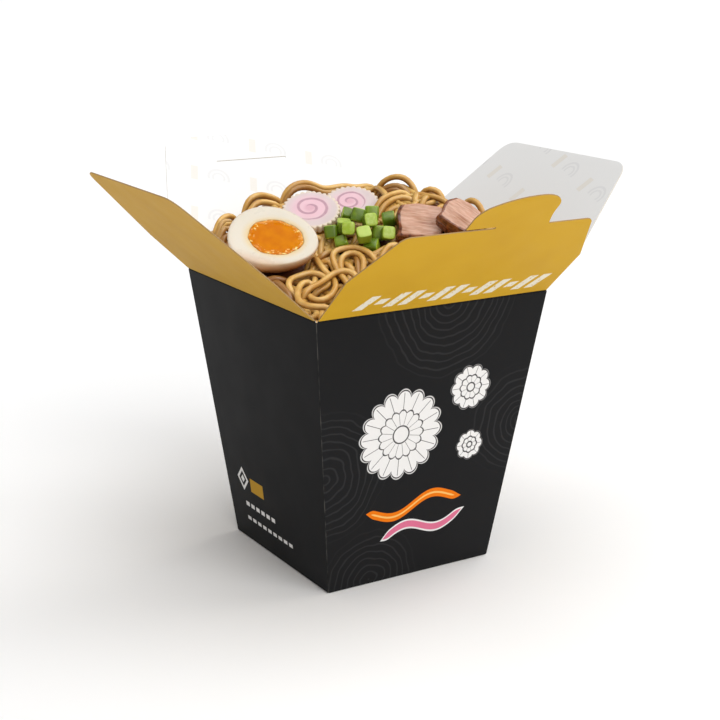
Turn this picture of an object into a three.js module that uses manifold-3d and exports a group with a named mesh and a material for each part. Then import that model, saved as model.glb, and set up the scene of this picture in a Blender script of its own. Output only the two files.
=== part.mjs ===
// A square, tapered takeaway box of coated board with its four flaps open, heaped with noodles and toppings.
// Millimetres and degrees, +Z up. The origin is the centre of the base, where it meets the surface below it.
// The flap with the tab is on the -Y side. The heap is lowest in the corner towards -X and -Y.
import * as THREE from "three";
import { mergeVertices } from "three/addons/utils/BufferGeometryUtils.js";
import Module from "manifold-3d";

const wasm = await Module();
wasm.setup();

// ---- Driving dimensions ----------------------------------------------------------------------------------

// Carton
const BOX_HEIGHT = 114; // from the table to the creases that the flaps turn on
const TOP_SIDE = 105.3; // outer side of the square mouth
const BASE_SIDE = 76.7; // outer side of the square base
const BOARD = 0.5; // thickness of the board
const GAP = 0.3; // clearance between pieces that touch

// Flaps. A half is measured along the crease from its middle, a height up the flap from the crease.
const CORNER_RELIEF = 0.85; // each flap stops this far short of the corner of the mouth
// Its opening is how far it leans out from upright.
const TAB_FLAP = { straight: 26.2, topHalf: 40.6, height: 52.1, corner: 3, opening: 47 };
const RIGHT_FLAP = { straight: 22.8, topHalf: 39.4, height: 66.6, corner: 6.8, opening: 48 };
const SLOT_FLAP = { straight: 27.4, topHalf: 38.9, height: 68.4, corner: 6.8, opening: 47 };
const LEFT_FLAP = { straight: 22.8, topHalf: 38.4, height: 66.6, corner: 6.8, opening: 47 };
const TAB = {
  left: -16.3,
  leftTop: 62.5,
  leftRound: 3,
  peakAt: 6.8,
  peak: 71.2,
  right: 17.9,
  rightTop: 63,
  rightRound: 5,
  rightFoot: 20.5,
};
const TAB_SLIT = { end: -3.4, height: 52.6, width: 1.2 };
const LOCK_SLOT = { left: -15.4, right: 19, height: 53.6, width: 0.8 };

// Heap of noodles
const HEAP_CREST = 32; // how far the middle of the heap would rise above the mouth if it fell to no side
const LOW_CORNER = -50; // X and Y of the place where the heap is level with the mouth
const HEAP_FOOT = 25; // distance from there at which it begins to rise
const HEAP_LEVEL = 112; // distance from there at which it has risen
const HEAP_EDGE = { reach: 51, power: 5, round: 0.45 }; // how its shoulders fall to the walls
const CORE_DEPTH = 4; // the packed core lies this far below the tops of the noodles
const CORE_CELLS = 14;
const NOODLE = { diameter: 3.6, sides: 5, length: 100, least: 36, count: 20, sunk: 0.8, seed: 206 };
const ROUTE_STEP = 2; // spacing of the points at which a noodle's route is worked out
const TUBE_STEP = 4.5; // spacing of the rings of its tube
const TRIES = 14; // each noodle takes the one of this many routes that covers most bare core
// Bends are one over the radius of the turn. A noodle curls, sways about that, and turns back at a wall.
const CURL = { most: 0.06 };
const SWAY = { least: 0.1, more: 0.05, length: 44, moreLength: 30 };
const TURN_BACK = { bend: 0.17, fromMiddle: 44 };
const ARCH = { most: 5, length: 14, moreLength: 8 }; // how a noodle lifts clear in places
const SAG = 0.1; // how much lower a point hangs than the middle between its neighbours
const SAG_ROUNDS = 40;
// Along each wall one noodle waves up and down, and another lies further in and sways sideways
const RIM = { halfLength: 44, waveLength: 38, offWall: 0.2, lowest: 0.5, secondRow: 7, sway: 1.6 };
const OVERLAY = { cost: 0.2, heightCost: 0.1 }; // of a route over others, and for each mm of its height
const SIDES = [0, 90, 180, 270];

// Toppings. Each is placed by the middle of the face that it shows, which leans towards a bearing.
const LOW_BEARING = -122;
const EGG = { length: 36.5, width: 29, depth: 15.5, blunt: 0.15, along: 0, aside: 0, segments: 22 };
const EGG_PLACE = { at: [-36, 9.3, 133.2], tilt: 40, spin: 74 };
const YOLK = { length: 21.8, width: 16.8, depth: 9, blunt: 0, along: 1, aside: -0.3, proud: 0.5, segments: 18 };
const ROLL = { radius: 11.6, crimp: 0.5, crimps: 30, pointsPerCrimp: 3, thickness: 3.2 };
const ROLL_SLICES = [
  { name: "fish_cake_slice_front", at: [-10.6, 23.6, 139.6], tilt: 29, spin: 20 },
  { name: "fish_cake_slice_back", at: [8.8, 23.7, 140.3], tilt: 29, spin: 200 },
];
const PORK_CHUNKS = [
  { name: "pork_chunk_left", at: [18.8, -13.2, 138.1], size: [19.6, 15.5, 9], tilt: 52, spin: 86 },
  { name: "pork_chunk_right", at: [27.2, -27.9, 142.7], size: [15.4, 13, 8.5], tilt: 42, spin: 52 },
];
// Its corners are softened, its faces undulate in layers along the grain, and its ends step with the layers.
const PORK = { soften: 0.045, layer: 0.35, layers: 5, swell: 1.5, step: 0.6, steps: 4, cells: [6, 5, 3] };
const STEM = { taper: 0.94, radius: 2.7, moreRadius: 0.4, height: 5, moreHeight: 0.8, sides: 8, seed: 11 };
const STEM_PILE = { at: [3, 3, 134], tilt: 35 };
// For each piece: its place across, up and out of the pile, then the lean, bearing and spin of its cut end.
const STEMS = [
  [-14, -2.8, 0, 55, 100, -10],
  [-9.6, -7.4, -1.4, 75, 10, 0],
  [2.4, -8.6, -2, 80, 350, 0],
  [8.7, -4.7, 1.7, 35, 290, -20],
  [9.2, 4.6, 0.5, 80, 5, 0],
  [2.4, 8.2, 0, 60, 90, 0],
  [-7.4, 8.2, -1.4, 75, 175, 0],
  [5.2, -1.2, -1.8, 55, 90, 0],
  [-3.3, 4.8, 2.2, 55, 75, 15],
  [-9, 0.6, 0.2, 25, 80, 10],
  [-7, -4.7, 4.3, 40, 270, 0],
  [-0.8, -8, 4.2, 5, 270, 15],
  [1.4, -0.3, 4.4, 35, 300, -15],
];

// ---- General helpers -------------------------------------------------------------------------------------

const radians = THREE.MathUtils.degToRad;
const Y_AXIS = new THREE.Vector3(0, 1, 0);
const Z_AXIS = new THREE.Vector3(0, 0, 1);

const finish = (color, roughness) => new THREE.MeshStandardMaterial({ color, roughness, metalness: 0 });
const FINISHES = {
  blackBoard: finish(0x232324, 0.45),
  goldBoard: finish(0xc59b2d, 0.5),
  noodle: finish(0xdeb269, 0.4),
  eggWhite: finish(0xe8e2da, 0.35),
  yolk: finish(0xe07d0a, 0.2),
  fishCake: finish(0xeadfe8, 0.45),
  pork: finish(0xc98e72, 0.5),
  stem: finish(0x7fae2c, 0.45),
};

function solidOf(geometry) {
  const bare = geometry.index ? geometry.toNonIndexed() : geometry.clone();
  bare.deleteAttribute("normal");
  bare.deleteAttribute("uv");
  const merged = mergeVertices(bare, 1e-4);
  const vertProperties = merged.attributes.position.array;
  const triVerts = new Uint32Array(merged.index.array);
  return new wasm.Manifold(new wasm.Mesh({ numProp: 3, vertProperties, triVerts }));
}

function geometryOf(solid) {
  const { vertProperties, triVerts } = solid.getMesh();
  const geometry = new THREE.BufferGeometry();
  geometry.setAttribute("position", new THREE.BufferAttribute(vertProperties, 3));
  geometry.setIndex(new THREE.BufferAttribute(triVerts, 1));
  return geometry;
}

// The largest single body of a solid.
function largestBody(solid) {
  return solid.decompose().reduce((largest, body) => (body.volume() > largest.volume() ? body : largest));
}

function moveVertices(geometry, move) {
  const position = geometry.attributes.position;
  const point = new THREE.Vector3();
  for (let i = 0; i < position.count; i++) {
    point.fromBufferAttribute(position, i);
    move(point);
    position.setXYZ(i, point.x, point.y, point.z);
  }
  return geometry;
}

function named(name, geometry, material) {
  const mesh = new THREE.Mesh(geometry, material);
  mesh.name = name;
  return mesh;
}

// Repeatable draws from 0 to 1.
function seededDraw(seed) {
  let state = seed;
  return () => {
    state = (Math.imul(state, 1664525) + 1013904223) >>> 0;
    return state / 2 ** 32;
  };
}

// The turn of a piece whose own +Z leans by tilt towards a bearing, after a spin about +Z.
function leaning(tilt, bearing, spin) {
  const about = (axis, angle) => new THREE.Quaternion().setFromAxisAngle(axis, radians(angle));
  return about(Z_AXIS, bearing).multiply(about(Y_AXIS, tilt)).multiply(about(Z_AXIS, spin));
}

function placed(mesh, { at, tilt, spin }) {
  mesh.position.set(...at);
  mesh.quaternion.copy(leaning(tilt, LOW_BEARING, spin));
  mesh.updateMatrixWorld(true);
  return mesh;
}

// ---- Carton and flaps ------------------------------------------------------------------------------------

const wallLean = (TOP_SIDE - BASE_SIDE) / 2 / BOX_HEIGHT;
const halfOuterAt = (height) => BASE_SIDE / 2 + wallLean * height;
const halfInnerAt = (height) => halfOuterAt(height) - BOARD * Math.hypot(1, wallLean);

// A square cup is a lathe of four sides, whose profile is measured to the corners.
function cartonGeometry() {
  const top = BOX_HEIGHT - GAP;
  const profile = [
    [0, 0],
    [halfOuterAt(0), 0],
    [halfOuterAt(top), top],
    [halfInnerAt(top), top],
    [halfInnerAt(BOARD), BOARD],
    [0, BOARD],
  ];
  const points = profile.map(([half, height]) => new THREE.Vector2(half * Math.SQRT2, height));
  return new THREE.LatheGeometry(points, 4).rotateX(Math.PI / 2).rotateZ(Math.PI / 4);
}

// A flap is straight at first, then tapers, and its top corners are rounded.
function flapShape({ straight, topHalf, height, corner }, traceTop = () => {}) {
  const hem = TOP_SIDE / 2 - CORNER_RELIEF;
  const taper = new THREE.Vector2(hem - topHalf, height - straight).setLength(corner);
  const shape = new THREE.Shape();
  shape.moveTo(-hem, GAP);
  shape.lineTo(-hem, straight);
  shape.lineTo(-topHalf - taper.x, height - taper.y);
  shape.quadraticCurveTo(-topHalf, height, corner - topHalf, height);
  traceTop(shape);
  shape.lineTo(topHalf - corner, height);
  shape.quadraticCurveTo(topHalf, height, topHalf + taper.x, height - taper.y);
  shape.lineTo(hem, straight);
  shape.lineTo(hem, GAP);
  return shape;
}

// The tab stands on the top edge. A slit from its left frees that half, to hook into the lock slot.
function traceTab(shape) {
  const { left, leftTop, leftRound, peakAt, peak, right, rightTop, rightRound, rightFoot } = TAB;
  const top = TAB_FLAP.height;
  shape.lineTo(left, top);
  shape.lineTo(TAB_SLIT.end, TAB_SLIT.height - TAB_SLIT.width / 2);
  shape.lineTo(TAB_SLIT.end, TAB_SLIT.height + TAB_SLIT.width / 2);
  shape.lineTo(left, top + TAB_SLIT.width);
  shape.lineTo(left, leftTop - leftRound);
  shape.quadraticCurveTo(left, leftTop, left + leftRound, leftTop + leftRound);
  shape.quadraticCurveTo((left + peakAt) / 2, peak, peakAt, peak);
  shape.bezierCurveTo((peakAt + right) / 2, peak, right, rightTop + rightRound, right, rightTop);
  shape.quadraticCurveTo(right, rightTop - rightRound, rightFoot, top);
}

function lockSlot() {
  const { left, right, height, width } = LOCK_SLOT;
  const hole = new THREE.Path();
  hole.moveTo(left, height - width / 2);
  hole.lineTo(right, height - width / 2);
  hole.lineTo(right, height + width / 2);
  hole.lineTo(left, height + width / 2);
  return hole;
}

// A flap's outer face turns on the outer edge of the mouth. Bearing is the side of the box that it hangs on.
function flap(name, shape, opening, bearing) {
  const geometry = new THREE.ExtrudeGeometry(shape, { depth: BOARD, bevelEnabled: false, curveSegments: 6 });
  geometry.translate(0, 0, -BOARD);
  const mesh = named(name, geometry, FINISHES.goldBoard);
  mesh.rotation.x = radians(90 + opening);
  mesh.position.set(0, -TOP_SIDE / 2, BOX_HEIGHT);
  const side = new THREE.Group();
  side.rotation.z = radians(bearing);
  side.add(mesh);
  return side;
}

function carton() {
  const group = new THREE.Group();
  const slotShape = flapShape(SLOT_FLAP);
  slotShape.holes.push(lockSlot());
  group.add(named("carton", cartonGeometry(), FINISHES.blackBoard));
  const flaps = [
    ["flap_front", flapShape(TAB_FLAP, traceTab), TAB_FLAP.opening],
    ["flap_right", flapShape(RIGHT_FLAP), RIGHT_FLAP.opening],
    ["flap_back", slotShape, SLOT_FLAP.opening],
    ["flap_left", flapShape(LEFT_FLAP), LEFT_FLAP.opening],
  ];
  flaps.forEach(([name, shape, opening], side) => group.add(flap(name, shape, opening, SIDES[side])));
  return group;
}

// ---- Toppings --------------------------------------------------------------------------------------------

// Half an egg, cut lengthwise: an ovoid along X, wider towards -X, shifted along X and Y, kept below Z = 0.
function eggHalf({ length, width, depth, blunt, along, aside, segments }) {
  const ovoid = new THREE.SphereGeometry(1, segments, segments / 2);
  moveVertices(ovoid, (p) => {
    const girth = 1 - blunt * p.x;
    p.set((p.x * length) / 2 + along, (p.y * girth * width) / 2 + aside, p.z * girth * depth);
  });
  const above = new THREE.BoxGeometry(2 * length, 2 * length, length).translate(0, 0, length / 2);
  return solidOf(ovoid).subtract(solidOf(above));
}

function egg() {
  const { length, width, depth, along, aside, proud, segments } = YOLK;
  const bowl = { ...YOLK, length: length + 2 * GAP, width: width + 2 * GAP, depth: depth + GAP };
  const dome = new THREE.SphereGeometry(1, segments, segments / 2);
  dome.scale(length / 2, width / 2, proud).translate(along, aside, 0);
  const white = eggHalf(EGG).subtract(eggHalf(bowl));
  const yolk = eggHalf(YOLK).add(solidOf(dome));
  return [
    placed(named("egg_white", geometryOf(white), FINISHES.eggWhite), EGG_PLACE),
    placed(named("egg_yolk", geometryOf(yolk), FINISHES.yolk), EGG_PLACE),
  ];
}

// A slice of a fish-cake roll: a disc with a crimped rim, whose shown face is at Z = 0.
function rollSlice(slice) {
  const { radius, crimp, crimps, pointsPerCrimp, thickness } = ROLL;
  const shape = new THREE.Shape();
  for (let i = 0; i < crimps * pointsPerCrimp; i++) {
    const turn = (2 * Math.PI * i) / (crimps * pointsPerCrimp);
    const reach = radius + crimp * (2 * Math.abs(Math.cos((crimps / 2) * turn)) - 1);
    shape[i ? "lineTo" : "moveTo"](reach * Math.cos(turn), reach * Math.sin(turn));
  }
  const geometry = new THREE.ExtrudeGeometry(shape, { depth: thickness, bevelEnabled: false });
  geometry.translate(0, 0, -thickness);
  return placed(named(slice.name, geometry, FINISHES.fishCake), slice);
}

// A chunk of pork: a block with softened corners and uneven sides, whose shown face is at Z = 0.
function porkChunk(chunk, index) {
  const [length, width, thickness] = chunk.size;
  const geometry = new THREE.BoxGeometry(2, 2, 2, ...PORK.cells);
  moveVertices(geometry, (p) => {
    const corner = (p.x * p.y) ** 2 + (p.y * p.z) ** 2 + (p.z * p.x) ** 2;
    const layer = PORK.layer * Math.sin(PORK.layers * p.y + 2 * index) * Math.sin(PORK.swell * p.x + index);
    const step = PORK.step * Math.sin(PORK.steps * p.y + index) * p.x;
    p.multiplyScalar(1 - PORK.soften * corner);
    p.set((p.x * length) / 2 + step, (p.y * width) / 2, ((p.z - 1) * thickness) / 2 + layer);
  });
  return placed(named(chunk.name, geometry, FINISHES.pork), chunk);
}

// Short lengths of green stem, in a loose pile that faces the way the heap falls.
function stems() {
  const draw = seededDraw(STEM.seed);
  const pile = new THREE.Object3D();
  placed(pile, { ...STEM_PILE, spin: 90 });
  return STEMS.map(([across, up, out, lean, bearing, spin], index) => {
    const radius = STEM.radius + STEM.moreRadius * draw();
    const height = STEM.height + STEM.moreHeight * draw();
    const geometry = new THREE.CylinderGeometry(radius, radius * STEM.taper, height, STEM.sides);
    geometry.rotateX(Math.PI / 2);
    const mesh = named(`stem_${String(index + 1).padStart(2, "0")}`, geometry, FINISHES.stem);
    mesh.position.set(across, up, out).applyMatrix4(pile.matrixWorld);
    mesh.quaternion.copy(pile.quaternion).multiply(leaning(lean, bearing, spin));
    mesh.updateMatrixWorld(true);
    return mesh;
  });
}

// ---- Heap of noodles -------------------------------------------------------------------------------------

const shoulder = (x) => {
  const { reach, power, round } = HEAP_EDGE;
  return Math.max(0, 1 - (Math.abs(x) / reach) ** power) ** round;
};

// Height of the tops of the noodles.
function heapTop(x, y) {
  const away = Math.hypot(x - LOW_CORNER, y - LOW_CORNER);
  const rise = THREE.MathUtils.smoothstep(away, HEAP_FOOT, HEAP_LEVEL);
  return BOX_HEIGHT + HEAP_CREST * rise * shoulder(x) * shoulder(y);
}

// How far a place lies under the toppings, from 0, clear of them, to 1.
function coverBy(beds, x, y) {
  const under = ({ centre, radius }) => {
    const away = Math.hypot(x - centre.x, y - centre.y);
    return 1 - THREE.MathUtils.smoothstep(away, 0.6 * radius, 1.1 * radius);
  };
  return Math.max(0, ...beds.map(under));
}

// The packed inside of the box, up to its own uneven top.
function coreGeometry(coreTop) {
  const floor = BOARD + GAP;
  const brim = BOX_HEIGHT - CORE_DEPTH;
  const geometry = new THREE.BoxGeometry(2, 2, 2, CORE_CELLS, CORE_CELLS, 1);
  return moveVertices(geometry, (p) => {
    const onWall = Math.max(Math.abs(p.x), Math.abs(p.y)) > 0.999;
    const half = halfInnerAt(p.z < 0 ? floor : brim) - GAP;
    const spread = (t) => half * Math.sin((t * Math.PI) / 2);
    const [x, y] = [spread(p.x), spread(p.y)];
    p.set(x, y, p.z < 0 ? floor : onWall ? brim : coreTop(x, y));
  });
}

// The heights of all that has been laid so far, on a grid of square cells.
class Relief {
  constructor(heightAt) {
    this.half = Math.ceil(TOP_SIDE / 2);
    this.count = 2 * this.half + 1;
    this.heights = Float64Array.from({ length: this.count ** 2 }, (_, i) =>
      heightAt((i % this.count) - this.half, Math.floor(i / this.count) - this.half),
    );
    this.covered = new Uint8Array(this.count ** 2);
  }

  cellAt(x, y) {
    return (Math.round(y) + this.half) * this.count + Math.round(x) + this.half;
  }

  // Calls visit with the index of each cell within radius and how high a ball there bulges over it.
  around(x, y, radius, visit) {
    for (let row = Math.ceil(y - radius); row <= y + radius; row++) {
      for (let column = Math.ceil(x - radius); column <= x + radius; column++) {
        const bulge = radius ** 2 - (column - x) ** 2 - (row - y) ** 2;
        const inside = Math.max(Math.abs(column), Math.abs(row)) <= this.half;
        if (bulge > 0 && inside) {
          visit((row + this.half) * this.count + column + this.half, Math.sqrt(bulge));
        }
      }
    }
  }

  // Height of the middle of a ball that rests here.
  restHeight(x, y, radius) {
    let height = -Infinity;
    this.around(x, y, radius, (cell, bulge) => {
      height = Math.max(height, this.heights[cell] + bulge);
    });
    return height;
  }

  lay(points, radius) {
    for (const { x, y, z } of points) {
      this.around(x, y, radius, (cell, bulge) => {
        this.heights[cell] = Math.max(this.heights[cell], z + bulge);
        this.covered[cell] = 1;
      });
    }
  }
}

// The way that a noodle at some point is turned by the walls and the toppings, or none.
function steerAt(x, y, beds) {
  const steer = new THREE.Vector2();
  if (Math.max(Math.abs(x), Math.abs(y)) > TURN_BACK.fromMiddle) {
    steer.set(-x, -y).normalize();
  }
  for (const { centre, radius } of beds) {
    const away = new THREE.Vector2(x - centre.x, y - centre.y);
    if (away.length() < radius + NOODLE.diameter) {
      steer.add(away.normalize());
    }
  }
  return steer;
}

// A route over the heap: it curls and sways, and turns back before a wall or a topping.
function curlingRoute(start, draw, beds) {
  const swayDepth = SWAY.least + SWAY.more * draw();
  const swayLength = SWAY.length + SWAY.moreLength * draw();
  const phase = 2 * Math.PI * draw();
  const curl = CURL.most * (2 * draw() - 1);
  const most = halfInnerAt(BOX_HEIGHT) - GAP - NOODLE.diameter / 2;
  let heading = 2 * Math.PI * draw();
  let [x, y] = start;
  const points = [];
  for (let along = 0; along <= NOODLE.length; along += ROUTE_STEP) {
    const steer = steerAt(x, y, beds);
    const aside = steer.y * Math.cos(heading) - steer.x * Math.sin(heading);
    const bend = curl + swayDepth * Math.sin((2 * Math.PI * along) / swayLength + phase);
    heading += ROUTE_STEP * (steer.length() > 0 ? TURN_BACK.bend * Math.sign(aside) : bend);
    x = THREE.MathUtils.clamp(x + ROUTE_STEP * Math.cos(heading), -most, most);
    y = THREE.MathUtils.clamp(y + ROUTE_STEP * Math.sin(heading), -most, most);
    points.push(new THREE.Vector3(x, y, 0));
  }
  return points;
}

// Lowers a route onto what lies below it. It hangs between its supports like a heavy string.
function settle(points, relief, arch) {
  const radius = NOODLE.diameter / 2;
  const support = points.map(({ x, y }, i) => {
    const wave = Math.sin((Math.PI * i * ROUTE_STEP) / arch.length + arch.phase);
    const lift = arch.height * Math.max(0, wave) ** 2;
    return relief.restHeight(x, y, radius) - NOODLE.sunk + lift;
  });
  const hang = () => {
    points.forEach((p, i) => {
      p.z = Math.max(support[i], p.z);
    });
    for (let round = 0; round < SAG_ROUNDS; round++) {
      for (let i = 1; i < points.length - 1; i++) {
        points[i].z = Math.max(support[i], (points[i - 1].z + points[i + 1].z) / 2 - SAG);
      }
    }
  };
  hang();
  const apart = Math.ceil((2.5 * NOODLE.diameter) / ROUTE_STEP);
  for (let j = apart; j < points.length; j++) {
    for (let i = 0; i <= j - apart; i++) {
      const near = Math.hypot(points[i].x - points[j].x, points[i].y - points[j].y) < NOODLE.diameter;
      if (near) {
        support[j] = Math.max(support[j], points[i].z + NOODLE.diameter - NOODLE.sunk);
      }
    }
  }
  hang();
  return points;
}

// The longest stretch of a route that stays clear of the toppings.
function clearStretch(points, isBlocked) {
  let best = [];
  let current = [];
  for (const point of points) {
    current = isBlocked(point) ? [] : [...current, point];
    best = current.length > best.length ? current : best;
  }
  return best;
}

function tube(points) {
  const radius = NOODLE.diameter / 2;
  const section = new THREE.Shape();
  for (let i = 0; i < NOODLE.sides; i++) {
    const turn = (2 * Math.PI * i) / NOODLE.sides;
    section[i ? "lineTo" : "moveTo"](radius * Math.cos(turn), radius * Math.sin(turn));
  }
  const extrudePath = new THREE.CatmullRomCurve3(points);
  const steps = Math.round(((points.length - 1) * ROUTE_STEP) / TUBE_STEP);
  return solidOf(new THREE.ExtrudeGeometry(section, { steps, bevelEnabled: false, extrudePath }));
}

// A noodle along one wall. Its sway is sideways, and its height is left to settle or given by rimHeight.
function wallRoute(bearing, inset, sway, phase) {
  const out = halfInnerAt(BOX_HEIGHT) - GAP - NOODLE.diameter / 2 - RIM.offWall - inset;
  const points = [];
  for (let along = -RIM.halfLength; along <= RIM.halfLength; along += ROUTE_STEP) {
    const wave = Math.sin((2 * Math.PI * along) / RIM.waveLength + phase);
    const point = new THREE.Vector3(along, sway * wave - out, 0).applyAxisAngle(Z_AXIS, radians(bearing));
    points.push(point.setZ(sway ? 0 : rimHeight(point, out, wave)));
  }
  return points;
}

// At the wall a noodle waves between the mouth and the shoulder of the heap.
function rimHeight({ x, y }, out, wave) {
  const inwards = (out - NOODLE.diameter / 2) / out;
  const room = heapTop(x * inwards, y * inwards) - BOX_HEIGHT - NOODLE.diameter;
  return BOX_HEIGHT + RIM.lowest + ((1 + wave) / 2) * Math.max(0, room);
}

// The round patch of the heap that a topping takes up.
function bedOf(mesh) {
  const bounds = new THREE.Box3().setFromObject(mesh, true);
  const size = bounds.getSize(new THREE.Vector3());
  return { name: mesh.name, centre: bounds.getCenter(new THREE.Vector3()), radius: (size.x + size.y) / 4 };
}

function noodles(toppings) {
  const draw = seededDraw(NOODLE.seed);
  const radius = NOODLE.diameter / 2;
  const beds = toppings.map(bedOf);
  const raised = beds.filter(({ name }) => name !== "egg_white");
  const coreTop = (x, y) => heapTop(x, y) - CORE_DEPTH * (1 - coverBy(raised, x, y));
  const blocks = toppings.map(blocking);
  const isBlocked = (point) => blocks.some((block) => block(point));
  const relief = new Relief(coreTop);
  let heap = solidOf(coreGeometry(coreTop));
  const fuse = (route) => {
    const points = clearStretch(route, isBlocked);
    if ((points.length - 1) * ROUTE_STEP < NOODLE.least) {
      return;
    }
    relief.lay(points, radius);
    heap = heap.add(tube(points));
  };
  const worth = (route) => {
    const onHeap = route.map(({ x, y }) => new THREE.Vector3(x, y, relief.restHeight(x, y, radius)));
    return clearStretch(onHeap, isBlocked).reduce((sum, { x, y, z }) => {
      const covered = relief.covered[relief.cellAt(x, y)];
      const above = Math.max(0, z - heapTop(x, y));
      return sum + (covered ? -OVERLAY.cost - OVERLAY.heightCost * above : 1);
    }, 0);
  };
  for (const bearing of SIDES) {
    fuse(wallRoute(bearing, 0, 0, 2 * Math.PI * draw()));
    const second = wallRoute(bearing, RIM.secondRow, RIM.sway, 2 * Math.PI * draw());
    fuse(settle(second, relief, { height: 0, length: ARCH.length, phase: 0 }));
  }
  for (let i = 0; i < NOODLE.count; i++) {
    const tries = Array.from({ length: TRIES }, () => {
      const start = [draw(), draw()].map((share) => (2 * share - 1) * TURN_BACK.fromMiddle);
      return curlingRoute(start, draw, beds);
    });
    const best = tries.reduce((a, b) => (worth(b) > worth(a) ? b : a));
    const length = ARCH.length + ARCH.moreLength * draw();
    const arch = { height: ARCH.most * draw(), length, phase: 2 * Math.PI * draw() };
    fuse(settle(best, relief, arch));
  }
  for (const mesh of toppings) {
    heap = heap.subtract(solidOf(grown(mesh)));
  }
  return named("noodles", geometryOf(largestBody(heap)), FINISHES.noodle);
}

// A topping's geometry in place, with the clearance added all round.
function grown(mesh) {
  const geometry = mesh.geometry.clone();
  geometry.computeBoundingBox();
  const size = geometry.boundingBox.getSize(new THREE.Vector3());
  const centre = geometry.boundingBox.getCenter(new THREE.Vector3());
  const factors = [size.x, size.y, size.z].map((side) => 1 + (2 * GAP) / side);
  geometry.translate(-centre.x, -centre.y, -centre.z).scale(...factors);
  return geometry.translate(centre.x, centre.y, centre.z).applyMatrix4(mesh.matrixWorld);
}

// Whether a noodle's middle at some point would touch this topping, taken as a rounded block.
function blocking(mesh) {
  mesh.geometry.computeBoundingBox();
  const box = mesh.geometry.boundingBox;
  const half = box.getSize(new THREE.Vector3()).multiplyScalar(0.5).addScalar(NOODLE.diameter / 2 + GAP);
  const centre = box.getCenter(new THREE.Vector3());
  const toOwn = mesh.matrixWorld.clone().invert();
  return (point) => {
    const own = point.clone().applyMatrix4(toOwn).sub(centre).divide(half);
    return own.x ** 4 + own.y ** 4 + own.z ** 4 < 1;
  };
}

// ---- The whole -------------------------------------------------------------------------------------------

const toppings = [...egg(), ...ROLL_SLICES.map(rollSlice), ...PORK_CHUNKS.map(porkChunk), ...stems()];
const box = new THREE.Group();
box.add(carton(), noodles(toppings.filter(({ name }) => name !== "egg_yolk")), ...toppings);

export default box;
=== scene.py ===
"""Looks of a square takeaway box of coated board that is heaped with noodles and toppings."""

import logging
import math
from collections.abc import Callable, Iterable
from dataclasses import dataclass, field
from enum import Enum

import bmesh
import bpy
import numpy as np
from mathutils import Matrix, Quaternion, Vector, noise

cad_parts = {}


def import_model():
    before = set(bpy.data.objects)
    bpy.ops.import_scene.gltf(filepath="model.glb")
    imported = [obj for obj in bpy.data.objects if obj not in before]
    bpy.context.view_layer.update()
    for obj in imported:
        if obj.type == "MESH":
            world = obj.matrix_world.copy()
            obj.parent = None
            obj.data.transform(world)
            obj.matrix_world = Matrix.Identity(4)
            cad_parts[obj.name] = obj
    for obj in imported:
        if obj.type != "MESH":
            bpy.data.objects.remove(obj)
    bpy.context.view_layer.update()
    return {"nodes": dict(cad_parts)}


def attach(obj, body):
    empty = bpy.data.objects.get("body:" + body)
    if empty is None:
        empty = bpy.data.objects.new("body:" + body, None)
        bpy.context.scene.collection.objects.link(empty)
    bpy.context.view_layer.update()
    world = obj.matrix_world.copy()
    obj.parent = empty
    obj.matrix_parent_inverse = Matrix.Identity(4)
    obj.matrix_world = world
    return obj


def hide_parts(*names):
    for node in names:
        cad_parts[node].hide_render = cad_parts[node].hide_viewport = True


LOG = logging.getLogger("takeaway_box")
MM = 0.001

# The box and the heap, in millimetres. They are the sizes that the solids have.
BOX_HEIGHT = 114.0
TOP_SIDE = 105.3
BASE_SIDE = 76.7
BOARD = 0.5
GAP = 0.3
CORNER_RELIEF = 0.85
WALL_LEAN = (TOP_SIDE - BASE_SIDE) / 2 / BOX_HEIGHT
HEAP_CREST = 32.0
LOW_CORNER = -50.0
HEAP_FOOT = 25.0
HEAP_LEVEL = 112.0
HEAP_REACH = 51.0
HEAP_POWER = 5.0
HEAP_ROUND = 0.45
LOW_BEARING = -122.0

Array = np.ndarray
Pair = tuple[float, float]
Spot = tuple[float, float, float]
Colour = tuple[float, float, float, float]
Faces = list[tuple[int, ...]]
Draw = Callable[[], float]
Piece = bpy.types.Object
Finish = bpy.types.Material
Node = bpy.types.Node
Socket = bpy.types.NodeSocket
Details = dict[int | str, object]
Number = "float | Value"


# ---- Numbers and places --------------------------------------------------------------------------


def shade(red: int, green: int, blue: int) -> Colour:
    """Turns a screen colour into the linear one that a shader takes.

    Args:
        red: Red, from 0 to 255.
        green: Green, from 0 to 255.
        blue: Blue, from 0 to 255.

    Returns:
        Red, green, blue and alpha, from 0 to 1.
    """

    def linear(level: float) -> float:
        """Removes the screen's gamma from one level."""
        return level / 12.92 if level <= 0.04045 else ((level + 0.055) / 1.055) ** 2.4

    return linear(red / 255), linear(green / 255), linear(blue / 255), 1.0


def half_outer(height: float) -> float:
    """Half the outer side of the box at a height."""
    return BASE_SIDE / 2 + WALL_LEAN * height


def half_inner(height: float) -> float:
    """Half the inner side of the box at a height."""
    return half_outer(height) - BOARD * math.hypot(1, WALL_LEAN)


def smoothstep(value: Array | float, low: float, high: float) -> Array:
    """Rises smoothly from 0 at low to 1 at high."""
    share = np.clip((value - low) / (high - low), 0, 1)
    return share * share * (3 - 2 * share)


def nearness(x: Array, y: Array, spot: Pair, inner: float, outer: float) -> Array:
    """Falls smoothly from 1 within one distance of a spot to 0 past another."""
    return 1 - smoothstep(np.hypot(x - spot[0], y - spot[1]), inner, outer)


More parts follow.
